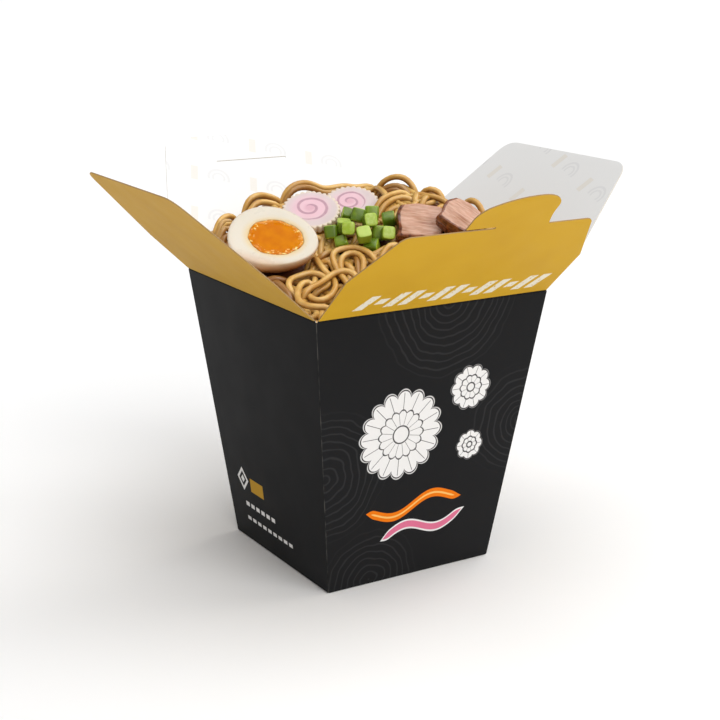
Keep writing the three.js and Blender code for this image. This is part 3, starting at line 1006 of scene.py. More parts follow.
def sweep_tree() -> Form:
    """A tree that sweeps a round section along chains of edges, with a little variation in thickness."""
    sizes = {"Radius": "NodeSocketFloat", "Sides": "NodeSocketInt", "Step": "NodeSocketFloat"}
    sizes |= {"Unevenness": "NodeSocketFloat", "Material": "NodeSocketMaterial"}
    tree = Form("sweep", sizes)
    given = tree.given
    curve = tree.node("GeometryNodeMeshToCurve", inputs={"Mesh": given["Geometry"]})
    curve = tree.node("GeometryNodeCurveSplineType", {"spline_type": "CATMULL_ROM"}, {"Curve": curve})
    steps = {"Curve": curve, "Length": given["Step"]}
    curve = tree.node("GeometryNodeResampleCurve", {"mode": "LENGTH"}, steps)
    lumps = tree.node("ShaderNodeTexNoise", {"noise_dimensions": "3D"}, {"Scale": 160.0, "Detail": 1.0})
    swing = tree.node("ShaderNodeMath", {"operation": "SUBTRACT"}, {0: lumps, 1: 0.5})
    terms = {0: swing, 1: given["Unevenness"], 2: 1.0}
    swing = tree.node("ShaderNodeMath", {"operation": "MULTIPLY_ADD"}, terms)
    sizes = {"Resolution": given["Sides"], "Radius": given["Radius"]}
    section = tree.node("GeometryNodeCurvePrimitiveCircle", inputs=sizes)
    parts = {"Curve": curve, "Profile Curve": section, "Scale": swing, "Fill Caps": True}
    tree.close(tree.node("GeometryNodeCurveToMesh", inputs=parts))
    return tree


def scatter_tree() -> Form:
    """A tree that sets one chunk at each point, turned and sized by the point's own attributes."""
    tree = Form("scatter", {"Chunk": "NodeSocketObject", "Material": "NodeSocketMaterial"})
    chunk = tree.node("GeometryNodeObjectInfo", inputs={"Object": tree.given["Chunk"]}).outputs["Geometry"]
    turn = tree.node("GeometryNodeInputNamedAttribute", {"data_type": "QUATERNION"}, {"Name": "turn"})
    size = tree.node("GeometryNodeInputNamedAttribute", {"data_type": "FLOAT_VECTOR"}, {"Name": "size"})
    parts = {"Points": tree.given["Geometry"], "Instance": chunk, "Rotation": turn, "Scale": size}
    tree.close(tree.node("GeometryNodeInstanceOnPoints", inputs=parts))
    return tree


def chain_object(name: str, chains: Iterable[Array], depths: Iterable[Array] | None = None) -> Piece:
    """Makes an object of edges, one chain for each route.

    Args:
        name: Name of the object.
        chains: Points of each route, in millimetres.
        depths: A number for each point of each route, stored as its depth.

    Returns:
        The object.
    """
    chains = list(chains)
    points = np.vstack(chains)
    edges: list[tuple[int, int]] = []
    start = 0
    for chain in chains:
        edges += [(start + i, start + i + 1) for i in range(len(chain) - 1)]
        start += len(chain)
    mesh = bpy.data.meshes.new(name)
    mesh.from_pydata((points * MM).tolist(), edges, [])
    made = linked(name, mesh)
    if depths is not None:
        give_attribute(made, "depth", np.concatenate(list(depths)))
    return made


# ---- The carton ----------------------------------------------------------------------------------


@dataclass
class Carton:
    """The square, tapered cup of board, and the rolled folds that its flaps hang on."""

    corner: float = 0.7
    corner_steps: int = 4
    fold_radius: float = 0.27
    foot_inset: float = 0.6
    ease: float = 0.1

    def ring(self, half: float, height: float, corner: float) -> Array:
        """A square ring with rounded corners, anticlockwise from above.

        Args:
            half: Half the side.
            height: The height that it lies at.
            corner: Radius of its corners.

        Returns:
            The ring's points.
        """
        points = []
        for quarter in range(4):
            for step in range(self.corner_steps + 1):
                turn = math.radians(90 * quarter + 90 * step / self.corner_steps)
                start = math.radians(90 * quarter + 45)
                middle = (half - corner) * math.sqrt(2)
                x = middle * math.cos(start) + corner * math.cos(turn)
                y = middle * math.sin(start) + corner * math.sin(turn)
                points.append((x, y, height))
        return np.array(points)

    def build(self) -> list[Piece]:
        """Makes the cup and its folds.

        Returns:
            The pieces.
        """
        top = BOX_HEIGHT - GAP
        board = BlackBoard().material()
        thirds = (BOX_HEIGHT / 3, 2 * BOX_HEIGHT / 3)
        shell = Shell()
        shell.add((0.0, 0.0, 0.0))
        shell.add(self.ring(half_outer(0) - self.foot_inset, 0, self.corner))
        shell.add(self.ring(half_outer(0) - 1.5 * self.ease, self.ease, self.corner))
        for height in (4 * self.ease, *thirds, top - self.ease):
            shell.add(self.ring(half_outer(height), height, self.corner))
        shell.add(self.ring(half_outer(top) - self.ease, top, self.corner))
        shell.add(self.ring(half_inner(top) + self.ease, top, self.corner / 2))
        for height in (top - self.ease, *reversed(thirds), BOARD):
            shell.add(self.ring(half_inner(height), height, self.corner / 2))
        shell.add((0.0, 0.0, BOARD))
        cup = mesh_object("carton_board", shell.points(), shell.faces(), board)
        cup.data.set_sharp_from_angle(angle=math.radians(30))
        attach(cup, "box")
        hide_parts("carton")
        return [cup, self.folds(board)]

    def folds(self, board: Finish) -> Piece:
        """Makes the rolled edge of board between each wall and its flap.

        Args:
            board: Their material.

        Returns:
            The object.
        """
        out = TOP_SIDE / 2 - self.fold_radius
        reach = TOP_SIDE / 2 - CORNER_RELIEF
        line = np.array([(-reach, -out, BOX_HEIGHT), (0, -out, BOX_HEIGHT), (reach, -out, BOX_HEIGHT)])
        chains = [moved(line, Matrix.Rotation(math.radians(turn), 4, "Z")) for turn in (0, 90, 180, 270)]
        start = chain_object("fold_lines", chains)
        sizes = {"Radius": self.fold_radius * MM, "Sides": 10, "Step": 4 * MM, "Unevenness": 0.0}
        folds = sweep_tree().run("fold_rolls", start, **sizes, Material=board)
        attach(folds, "box")
        return folds


class Side(Enum):
    """The sides of the box, by the bearing of each."""

    FRONT = 0
    RIGHT = 90
    BACK = 180
    LEFT = 270


@dataclass(frozen=True)
class FlapForm:
    """Sizes of a flap: a half is measured along the fold, a height up from it, and its lean from upright."""

    straight: float
    top_half: float
    height: float
    corner: float
    opening: float = 47.0


@dataclass
class Flap:
    """One open flap of the lid, gold outside and pale inside."""

    side: Side
    form: FlapForm
    tabbed: bool = False
    slotted: bool = False
    rounding: float = 0.06

    def outline(self) -> list[Pair]:
        """The outline, anticlockwise seen from outside the box with the fold at the bottom.

        Returns:
            Places along the fold and above it, in millimetres.
        """
        form = self.form
        hem = TOP_SIDE / 2 - CORNER_RELIEF
        taper = Vector((hem - form.top_half, form.height - form.straight)).normalized() * form.corner
        right = [(hem, GAP), (hem, form.straight)]
        tip, before = (form.top_half, form.height), (form.top_half - form.corner, form.height)
        right += self.bend((form.top_half + taper.x, form.height - taper.y), tip, before)
        left = [(-across, up) for across, up in reversed(right)]
        return right + (self.tab() if self.tabbed else []) + left

    def bend(self, *guides: Pair, steps: int = 10) -> list[Pair]:
        """A Bezier curve.

        Args:
            guides: Its guide points, three or four.
            steps: How many steps it is cut into.

        Returns:
            The points on it.
        """
        points = []
        for i in range(steps + 1):
            level = [Vector(guide) for guide in guides]
            while len(level) > 1:
                level = [a.lerp(b, i / steps) for a, b in zip(level, level[1:])]
            points.append(tuple(level[0]))
        return points

    def tab(self) -> list[Pair]:
        """The locking tab from right to left, with the slit that frees its left half.

        Returns:
            Places along the fold and above it, in millimetres.
        """
        left, left_top, left_round = -16.3, 62.5, 3.0
        peak_at, peak = 6.8, 71.2
        right, right_top, right_round, right_foot = 17.9, 63.0, 5.0, 20.5
        slit_end, slit_height, slit_width = -3.4, 52.6, 1.2
        top = self.form.height
        tip, peak_point = (right, right_top), (peak_at, peak)
        points = self.bend((right_foot, top), (right, right_top - right_round), tip)
        shoulder = ((right, right_top + right_round), ((peak_at + right) / 2, peak))
        points += self.bend(tip, *shoulder, peak_point)[1:]
        corner = (left + left_round, left_top + left_round)
        points += self.bend(peak_point, ((left + peak_at) / 2, peak), corner)[1:]
        points += self.bend(corner, (left, left_top), (left, left_top - left_round))[1:]
        points += [(left, top + slit_width), (slit_end, slit_height + slit_width / 2)]
        points += [(slit_end, slit_height - slit_width / 2), (left, top)]
        return points

    def slot_hole(self) -> list[Pair]:
        """The slit that the tab hooks into."""
        left, right, height, width = -15.4, 19.0, 53.6, 0.8
        low, high = height - width / 2, height + width / 2
        return [(left, low), (right, low), (right, high), (left, high)]

    def build(self) -> Piece:
        """Makes the flap as a filled curve with rounded edges, then turns it into place.

        Returns:
            The flap.
        """
        side = self.side.name.lower()
        name = f"{side}_flap_board"
        curve = bpy.data.curves.new(name, "CURVE")
        curve.dimensions = "2D"
        curve.fill_mode = "BOTH"
        curve.extrude = (BOARD / 2 - self.rounding) * MM
        curve.bevel_depth = self.rounding * MM
        curve.offset = -self.rounding * MM
        curve.bevel_resolution = 1
        for outline in [self.outline()] + ([self.slot_hole()] if self.slotted else []):
            spline = curve.splines.new("POLY")
            spline.points.add(len(outline) - 1)
            for point, (across, up) in zip(spline.points, outline):
                point.co = (across * MM, up * MM, 0, 1)
            spline.use_cyclic_u = True
        drawn = bpy.data.objects.new(name, curve)
        mesh = bpy.data.meshes.new_from_object(drawn)
        bpy.data.objects.remove(drawn)
        piece = linked(name, mesh)
        self.dress(piece)
        lift = Matrix.Translation((0, -TOP_SIDE / 2 * MM, BOX_HEIGHT * MM))
        lean = Matrix.Rotation(math.radians(90 + self.form.opening), 4, "X")
        inwards = Matrix.Translation((0, 0, -BOARD / 2 * MM))
        mesh.transform(Matrix.Rotation(math.radians(self.side.value), 4, "Z") @ lift @ lean @ inwards)
        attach(piece, f"{side}_flap")
        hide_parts(f"flap_{side}")
        return piece

    def dress(self, piece: Piece) -> None:
        """Gives the flap its UV map and a material on each face and on its edges.

        Args:
            piece: The flap, flat and with its outside up.
        """
        mesh = piece.data
        merge_doubles(mesh)
        places = np.empty(len(mesh.vertices) * 3)
        mesh.vertices.foreach_get("co", places)
        give_uv(piece, places.reshape(-1, 3)[:, :2] * 10)
        if self.tabbed:
            outside = GoldBoard("gold_board_barred", True)
        else:
            # Painted shade: the plain flaps' gold is a little darker than the front flap's.
            outside = GoldBoard("gold_board_plain", False, shade(194, 150, 48), shade(188, 144, 46))
        pale_edge = BoardEdge(shade(226, 220, 206), shade(208, 200, 184))
        edge = BoardEdge() if self.side in (Side.FRONT, Side.LEFT) else pale_edge
        for finish in (outside, PaleBoard(), edge):
            mesh.materials.append(finish.material())
        for face in mesh.polygons:
            facing = face.normal.z
            face.material_index = 0 if facing > 0.9 else 1 if facing < -0.9 else 2
            face.use_smooth = False


def merge_doubles(mesh: bpy.types.Mesh) -> None:
    """Joins vertices that lie on one another."""
    work = bmesh.new()
    work.from_mesh(mesh)
    bmesh.ops.remove_doubles(work, verts=work.verts, dist=1e-6)
    work.to_mesh(mesh)
    work.free()


# ---- Toppings ------------------------------------------------------------------------------------


@dataclass
class Egg:
    """Half a boiled egg with a soft yolk, cut lengthwise."""

    place: Place = Place((-36.0, 9.3, 133.2), 40.0, 74.0)
    length: float = 36.5
    width: float = 29.0
    depth: float = 15.5
    blunt: float = 0.15
    yolk_length: float = 21.8
    yolk_width: float = 16.8
    yolk_depth: float = 9.0
    yolk_along: float = 1.0
    yolk_aside: float = -0.3
    proud: float = 0.5
    cut_swell: float = 0.25
    clot: float = 0.22
    segments: int = 120

    def turns(self) -> Array:
        """The directions of the points of a ring."""
        return np.arange(self.segments) * 2 * math.pi / self.segments

    def outer(self, reach: float, drop: float) -> Array:
        """A ring of the egg's outside.

        Args:
            reach: Share of the half length, from 0 to 1.
            drop: Share of the depth below the cut, from 0 to 1.

        Returns:
            The ring's points.
        """
        turn = self.turns()
        along = reach * np.cos(turn)
        girth = 1 - self.blunt * along
        across = reach * np.sin(turn) * girth * self.width / 2
        return np.column_stack([along * self.length / 2, across, -drop * girth * self.depth])

    def inner(self, reach: float, height: float) -> Array:
        """A ring about the yolk, whose edge is a little uneven.

        Args:
            reach: Share of the yolk's half length.
            height: The height that it lies at.

        Returns:
            The ring's points.
        """
        turn = self.turns()
        edge = 1 + 0.022 * np.sin(3 * turn + 0.7) + 0.014 * np.sin(7 * turn + 2.0) + 0.008 * np.sin(13 * turn)
        across = reach * edge * np.sin(turn) * self.yolk_width / 2 + self.yolk_aside
        along = reach * edge * np.cos(turn) * self.yolk_length / 2 + self.yolk_along
        return np.column_stack([along, across, np.full_like(turn, height)])

    def build(self) -> list[Piece]:
        """Makes the white and the yolk.

        Returns:
            The two pieces.
        """
        return [self.build_white(), self.build_yolk()]

    def build_white(self) -> Piece:
        """Makes the white, with the hollow that holds the yolk.

        Returns:
            The object.
        """
        shell = Shell()
        shell.add(self.outer(0, 1)[0], 1.0)
        for lean in np.linspace(84, 6, 18):
            angle = math.radians(lean)
            shell.add(self.outer(math.cos(angle), math.sin(angle)), float(smoothstep(lean, -12, 24)))
        brow = ((0.998, 0.055, 0.4), (0.992, 0.025, 0.24), (0.978, 0.007, 0.12), (0.955, 0.0, 0.05))
        for reach, drop, skin in brow:
            shell.add(self.outer(reach, drop), skin)
        rim, edge = self.outer(0.955, 0.0), self.inner(1.06, 0.0)
        for share in (0.2, 0.4, 0.6, 0.8, 1.0):
            ring = rim * (1 - share) + edge * share
            ring[:, 2] += self.cut_swell * share * (1 - share)
            shell.add(ring)
        shell.add(self.inner(1.03, -0.03))
        shell.add(self.inner(1.02, -0.25))
        hollow = self.yolk_depth + GAP
        for angle in np.radians((15, 35, 55, 75)):
            shell.add(self.inner(1.02 * math.cos(angle), -hollow * math.sin(angle)))
        shell.add((self.yolk_along, self.yolk_aside, -hollow))
        points = shell.points()
        placed = moved(points, self.place.matrix())
        white = mesh_object("egg_white_half", placed, shell.faces(), EggWhite().material())
        along, aside = points[:, 0] - self.yolk_along, points[:, 1] - self.yolk_aside
        near = np.hypot(along / (self.yolk_length / 2), aside / (self.yolk_width / 2))
        give_attribute(white, "halo", smoothstep(-near, -1.28, -1.0) * (points[:, 2] > -1.0))
        # Painted shade: the cut face's low side takes up to half of the skin's peach-brown.
        low = smoothstep(-points[:, 1] / (self.width / 2), 0.6, 1.05) * (points[:, 2] > -1.0)
        give_attribute(white, "skin", np.maximum(shell.marked(), 0.5 * low))
        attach(white, "box")
        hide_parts("egg_white")
        return white

    def build_yolk(self) -> Piece:
        """Makes the yolk, which stands a little proud and is clotted at its edge.

        Returns:
            The object.
        """
        shell = Shell()
        shell.add((self.yolk_along, self.yolk_aside, -self.yolk_depth))
        for angle in np.radians((75, 55, 35, 15)):
            shell.add(self.inner(0.99 * math.cos(angle), -self.yolk_depth * math.sin(angle)))
        shell.add(self.inner(1.0, -0.5), 1.0)
        shell.add(self.inner(1.015, -0.15), 1.0)
        turn = self.turns()
        for reach in (1.0, 0.96, 0.92, 0.87, 0.81, 0.74, 0.66, 0.56, 0.44, 0.3, 0.15):
            ring = self.inner(reach, self.proud * (1 - reach**2))
            near = float(smoothstep(reach, 0.68, 0.96))
            clots = np.sin(9 * turn + 5 * reach) * np.sin(5 * turn - 9 * reach)
            clots += 0.6 * np.sin(17 * turn + 11 * reach)
            ring[:, 2] += self.clot * near * (1 - near * 0.3) * clots * (reach < 1)
            shell.add(ring, near)
        shell.add((self.yolk_along, self.yolk_aside, self.proud))
        placed = moved(shell.points(), self.place.matrix())
        yolk = mesh_object("egg_yolk_half", placed, shell.faces(), Yolk().material())
        give_attribute(yolk, "edge", shell.marked())
        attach(yolk, "box")
        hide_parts("egg_yolk")
        return yolk


@dataclass
class FishCake:
    """A slice of a fish-cake roll with a crimped rim and a pink spiral."""

    node: str
    place: Place
    unwind: float = 0.0
    heart: Pair = (-0.04, 0.1)
    tighten: float = 1.0
    radius: float = 11.6
    crimp: float = 0.5
    crimps: int = 30
    thickness: float = 3.2
    dish: float = 0.12
    ripple: float = 0.12
    segments: int = 360

    def ring(self, reach: float, height: float, crimped: float) -> Array:
        """A ring of the slice.

        Args:
            reach: Share of the radius.
            height: The height that it lies at.
            crimped: How deep its crimps are, from 0 to 1.

        Returns:
            The ring's points.
        """
        turn = np.arange(self.segments) * 2 * math.pi / self.segments
        wave = 2 * np.abs(np.cos(self.crimps / 2 * turn)) - 1
        away = self.radius * reach + self.crimp * crimped * wave
        return np.column_stack([away * np.cos(turn), away * np.sin(turn), np.full_like(turn, height)])

    def build(self) -> Piece:
        """Makes the slice.

        Returns:
            The piece.
        """
        low, rim, face = -self.thickness, 0.6, -self.dish
        shell = Shell()
        shell.add((0.0, 0.0, low))
        for reach, height, crimped in (
            (0.6, low, 0.0), (0.95, low, 0.8), (0.99, low + 0.25, 1.0), (1.0, low + rim, 1.0),
            (1.0, -rim, 1.0), (0.99, -0.2, 1.0), (0.96, 0.0, 0.85), (0.92, 0.0, 0.4), (0.86, 0.0, 0.0),
        ):
            shell.add(self.ring(reach, height, crimped))
        for reach in (0.75, 0.6, 0.45, 0.3, 0.15):
            shell.add(self.ring(reach, face, 0.0))
        shell.add((0.0, 0.0, face))
        points = shell.points()
        lifted = points.copy()
        lifted[:, 2] += self.ripple * np.sin(0.5 * points[:, 0] + 1) * np.sin(0.6 * points[:, 1])
        material = bpy.data.materials.get("fish_cake_flesh") or FishCakeFlesh().material()
        placed = moved(lifted, self.place.matrix())
        slice_piece = mesh_object(f"{self.node}_cut", placed, shell.faces(), material)
        upright = np.array(Matrix.Rotation(math.radians(self.place.spin - 90), 2))
        wound = np.array(Matrix.Rotation(math.radians(self.unwind), 2))
        give_uv(slice_piece, (points[:, :2] @ upright.T / self.radius - self.heart) @ wound.T * self.tighten)
        give_attribute(slice_piece, "rim", np.hypot(points[:, 0], points[:, 1]) / self.radius)
        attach(slice_piece, "box")
        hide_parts(self.node)
        return slice_piece


@dataclass
class Pork:
    """A chunk of cooked pork: fibres on its cut face, glaze on its sides."""

    node: str
    place: Place
    size: Spot
    index: int
    soften: float = 0.045
    layer: float = 0.35
    layers: float = 5.0
    swell: float = 1.5
    step: float = 0.6
    steps: float = 4.0
    grain: float = 0.22
    lumps: float = 0.35
    cells: int = 28

    def build(self) -> Piece:
        """Makes the chunk as a block with soft corners, then roughens its grain.

        Returns:
            The piece.
        """
        unit, faces = gridded_block(self.cells)
        length, width, thickness = self.size
        x, y, z = unit.T
        corner = (x * y) ** 2 + (y * z) ** 2 + (z * x) ** 2
        layer = self.layer * np.sin(self.layers * y + 2 * self.index) * np.sin(self.swell * x + self.index)
        step = self.step * np.sin(self.steps * y + self.index) * x
        soft = unit * (1 - self.soften * corner)[:, None]
        points = soft * (length / 2, width / 2, thickness / 2)
        points[:, 0] += step
        points[:, 2] += layer - thickness / 2
        rough = [noise.noise(Vector((p[0] * 0.12, p[1] * 0.75, p[2] * 0.75 + self.index))) for p in points]
        coarse = [noise.noise(Vector((p[0] * 0.2 + 5, p[1] * 0.3, p[2] * 0.3 + self.index))) for p in points]
        outward = unit / np.linalg.norm(unit, axis=1)[:, None]
        points += outward * (self.grain * np.array(rough) + self.lumps * np.array(coarse))[:, None]
        material = bpy.data.materials.get("pork_flesh") or PorkFlesh().material()
        chunk = mesh_object(f"{self.node}_cut", moved(points, self.place.matrix()), faces, material)
        give_uv(chunk, np.column_stack([points[:, 0], points[:, 1] + points[:, 2]]) / 10)
        ends = smoothstep(x, -0.98, -0.72) * smoothstep(-x, -1.02, -0.86)
        face = smoothstep(z, 0.86, 1.0) * ends * smoothstep(y, -1.0, -0.66)
        give_attribute(chunk, "glaze", 1 - face)
        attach(chunk, "box")
        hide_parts(self.node)
        return chunk


@dataclass
class Stems:
    """Short lengths of green stem in a loose pile.

    Each place gives how far a piece lies across, up and out of the pile, and the lean, the bearing and the
    spin of its cut end.
    """

    pile: Place = Place((3.0, 3.0, 134.0), 35.0, 90.0)
    radius: float = 2.7
    more_radius: float = 0.4
    height: float = 5.0
    more_height: float = 0.8
    taper: float = 0.94
    squareness: float = 4.5
    slim: float = 0.97
    segments: int = 32
    seed: int = 11
    places: tuple[tuple[float, ...], ...] = (
        (-14, -2.8, 0, 55, 100, -10),
        (-9.6, -7.4, -1.4, 75, 10, 0),
        (2.4, -8.6, -2, 80, 350, 0),
        (8.7, -4.7, 1.7, 35, 290, -20),
        (9.2, 4.6, 0.5, 80, 5, 0),
        (2.4, 8.2, 0, 60, 90, 0),
        (-7.4, 8.2, -1.4, 75, 175, 0),
        (5.2, -1.2, -1.8, 55, 90, 0),
        (-3.3, 4.8, 2.2, 55, 75, 15),
        (-9, 0.6, 0.2, 25, 80, 10),
        (-7, -4.7, 4.3, 40, 270, 0),
        (-0.8, -8, 4.2, 5, 270, 15),
        (1.4, -0.3, 4.4, 35, 300, -15),
    )

    def chunk(self) -> Piece:
        """Makes the chunk that all share: one across, one high, with soft edges.

        Returns:
            The object.
        """
        turn = np.arange(self.segments) * 2 * math.pi / self.segments
        power = 2 / self.squareness
        across = np.sign(np.cos(turn)) * np.abs(np.cos(turn)) ** power
        along = np.sign(np.sin(turn)) * np.abs(np.sin(turn)) ** power
        ends = ((0.4, 0.5, 1), (0.8, 0.495, 1), (0.93, 0.47, 1), (0.985, 0.42, 0), (1.0, 0.3, 0))
        levels = [(reach, -height, cut) for reach, height, cut in ends] + [(1.01, 0.0, 0), *reversed(ends)]
        shell = Shell()
        shell.add((0.0, 0.0, -0.5), 1.0)
        for reach, height, cut in levels:
            size = reach * (1 - (1 - self.taper) * (0.5 - height)) * self.slim
            shell.add(np.column_stack([across * size, along * size, np.full_like(turn, height)]), float(cut))
        shell.add((0.0, 0.0, 0.5), 1.0)
        made = mesh_object("stem_chunk", shell.points(), shell.faces())
        give_attribute(made, "cut", shell.marked())
        return made

    def build(self) -> Piece:
        """Sets a chunk at each place of the pile.

        Returns:
            The pile as one piece.
        """
        draw = seeded_draw(self.seed)
        pile = self.pile.matrix()
        sizes, turns, spots = [], [], []
        for across, up, out, lean, bearing, spin in self.places:
            radius = self.radius + self.more_radius * draw()
            height = self.height + self.more_height * draw()
            spots.append(pile @ Vector((across, up, out)))
            turns.append(pile.to_quaternion() @ leaning(lean, bearing, spin))
            sizes.append((radius, radius, height))
        start = mesh_object("stem_spots", np.array(spots), [])
        size = start.data.attributes.new("size", "FLOAT_VECTOR", "POINT")
        size.data.foreach_set("vector", np.array(sizes, dtype=np.float32).ravel())
        turn = start.data.attributes.new("turn", "QUATERNION", "POINT")
        turn.data.foreach_set("value", np.array(turns, dtype=np.float32).ravel())
        give_attribute(start, "tone", np.array([7 * i % 13 / 12 for i in range(len(self.places))]))
        chunk = self.chunk()
        piece = scatter_tree().run("green_stems", start, Chunk=chunk, Material=GreenStem().material())
        bpy.data.objects.remove(chunk)
        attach(piece, "box")
        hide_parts(*(f"stem_{i + 1:02d}" for i in range(len(self.places))))
        return piece


# ---- The heap of noodles -------------------------------------------------------------------------


@dataclass(frozen=True)
class Obstacle:
    """A topping as the noodles meet it: a rounded block in its own axes, and the room in front of its face.

    Its middle lies at the origin of its matrix. Sideways it reaches as far as half, down and up as far as low
    and high.
    """

    matrix: Matrix
    half: Pair
    low: float
    high: float
    power: float
    front: float = 30.0

    def share(self, own: Array, grow: float) -> Array:
        """How far out points in its own axes lie: below 1 inside the grown block, above 1 outside.

        Args:
            own: The points.
            grow: How far the block is grown.

        Returns:
            The share of each point.
        """
        x, y, z = own.T
        upward = np.where(z > 0, z / (self.high + grow), z / (self.low + grow))
        parts = (x / (self.half[0] + grow), y / (self.half[1] + grow), upward)
        return sum(np.abs(part) ** self.power for part in parts) ** (1 / self.power)

    def holds(self, points: Array, grow: float, in_front: bool) -> Array:
        """Which points lie inside it.

        Args:
            points: Points, in millimetres.
            grow: How far the block is grown on every side.
            in_front: Whether the room in front of its face counts too.

        Returns:
            True for each point inside.
        """
        own = moved(points, self.matrix.inverted())
        if in_front:
            own[:, 2] = np.where(own[:, 2] > 0, np.maximum(0, own[:, 2] - self.front), own[:, 2])
        return self.share(own, grow) < 1

    def pushed(self, points: Array, grow: float, most: float) -> Array:
        """Moves points that lie a little way inside it straight out from its middle.

        Args:
            points: Points, in millimetres.
            grow: How far the block is grown on every side.
            most: The longest move. Points that lie deeper stay.

        Returns:
            The points.
        """
        own = moved(points, self.matrix.inverted())
        out = own / np.clip(self.share(own, grow), 0.01, 1)[:, None]
        near = np.linalg.norm(out - own, axis=1) < most
        return moved(np.where(near[:, None], out, own), self.matrix)


class Relief:
    """The height of all that has been laid so far, on a grid of square cells."""

    def __init__(self, height_at: Callable[[Array, Array], Array], cell: float = 0.75) -> None:
        """Starts from a surface."""
        self.cell = cell
        self.half = math.ceil(TOP_SIDE / 2 / cell)
        steps = (np.arange(2 * self.half + 1) - self.half) * cell
        x, y = np.meshgrid(steps, steps)
        self.heights = height_at(x, y)

    def cells(self, columns: Array, rows: Array) -> tuple[Array, Array]:
        """Indexes of cells that are counted from the middle, kept on the grid."""
        limit = 2 * self.half
        return np.clip(rows + self.half, 0, limit), np.clip(columns + self.half, 0, limit)

    def window(self, points: Array, radius: float) -> tuple[tuple[Array, Array], Array, Array]:
        """The cells near balls at some points.

        Args:
            points: The middle of each ball.
            radius: The radius of the balls.

        Returns:
            The indexes of the cells, which of them lie under the ball, and how high it bulges there.
        """
        reach = math.ceil(radius / self.cell)
        offsets = np.arange(-reach, reach + 1)
        across, along = np.meshgrid(offsets, offsets)
        columns = np.rint(points[:, 0] / self.cell).astype(int)[:, None] + across.ravel()
        rows = np.rint(points[:, 1] / self.cell).astype(int)[:, None] + along.ravel()
        gap_x, gap_y = columns * self.cell - points[:, :1], rows * self.cell - points[:, 1:2]
        bulge = radius**2 - gap_x**2 - gap_y**2
        return self.cells(columns, rows), bulge > 0, np.sqrt(np.maximum(bulge, 0))

    def rest(self, points: Array, radius: float) -> Array:
        """Height of the middle of a ball that rests at each point."""
        cells, under, bulge = self.window(points, radius)
        return np.where(under, self.heights[cells] + bulge, -np.inf).max(axis=1)

    def lay(self, points: Array, radius: float) -> None:
        """Raises the relief to the tops of balls at some points."""
        (rows, columns), under, bulge = self.window(points, radius)
        np.maximum.at(self.heights, (rows[under], columns[under]), (points[:, 2:3] + bulge)[under])

    def hollow(self, points: Array, radius: float) -> None:
        """Lowers the relief to the undersides of balls at some points."""
        (rows, columns), under, bulge = self.window(points, radius)
        np.minimum.at(self.heights, (rows[under], columns[under]), (points[:, 2:3] - bulge)[under])

    def own(self, points: Array) -> Array:
        """The relief's own height at each point."""
        columns, rows = np.rint(points[:, :2] / self.cell).astype(int).T
        return self.heights[self.cells(columns, rows)]


@dataclass(frozen=True)
class View:
    """The camera: it looks at the middle of the box, then shifts aside and rolls. Its picture is square."""

    azimuth: float = -32.0694
    elevation: float = 15.671
    distance: float = 5.3846 * BOX_HEIGHT
    aim_right: float = -0.0073 * BOX_HEIGHT
    aim_up: float = 0.1935 * BOX_HEIGHT
    roll: float = 0.6486
    focus: float = 1484.4
    picture: float = 720.0

    def axes(self) -> Matrix:
        """The camera's own axes and its spot, in millimetres.

        Returns:
            The move from the camera's axes to the box's.
        """
        turn, rise, tip = (math.radians(a) for a in (self.azimuth, self.elevation, self.roll))
        back = Vector((math.sin(turn) * math.cos(rise), -math.cos(turn) * math.cos(rise), math.sin(rise)))
        right = Vector((math.cos(turn), math.sin(turn), 0))
        up = back.cross(right)
        spot = Vector((0, 0, BOX_HEIGHT / 2)) + back * self.distance
        spot += right * self.aim_right + up * self.aim_up
        across = right * math.cos(tip) + up * math.sin(tip)
        upward = up * math.cos(tip) - right * math.sin(tip)
        return Matrix.Translation(spot) @ Matrix((across, upward, back)).transposed().to_4x4()

    def sight(self, across: float, down: float) -> tuple[Array, Array]:
        """The camera's spot, and the direction of a place in its picture.

        Args:
            across: Pixels from the picture's left side.
            down: Pixels from its top.

        Returns:
            The spot, and the direction.
        """
        axes = self.axes()
        middle = self.picture / 2
        ahead = axes.to_3x3() @ Vector((across - middle, middle - down, -self.focus))
        return np.array(axes.translation), np.array(ahead)

    def on_heap(self, across: float, down: float, lift: float) -> Array:
        """Where the heap's outline shows at a place in the picture.

        Args:
            across: How far across the picture the place is.
            down: How far down the picture it is.
            lift: How far the outline is raised, in millimetres.

        Returns:
            The point on the outline, or the one nearest to it that lies in the box.
        """
        spot, ahead = self.sight(across, down)
        heights = np.arange(BOX_HEIGHT + 61, BOX_HEIGHT - 14, -0.1)
        points = spot + ahead * ((heights - spot[2]) / ahead[2])[:, None]
        inside = np.abs(points[:, :2]).max(axis=1) < TOP_SIDE / 2 - 1
        above = np.where(inside, heights - heap_top(points[:, 0], points[:, 1]) - lift, np.inf)
        return points[int(np.argmax(above <= 0) if above.min() <= 0 else np.argmin(above))]

    def on_plane(self, across: float, down: float, wall: tuple[float, float, float, float]) -> Array:
        """Where an upright plane through two floor places shows at a place in the picture."""
        spot, ahead = self.sight(across, down)
        normal = np.array([wall[1] - wall[3], wall[2] - wall[0], 0.0])
        return spot + ahead * ((np.array([wall[0], wall[1], 0.0]) - spot) @ normal / (ahead @ normal))


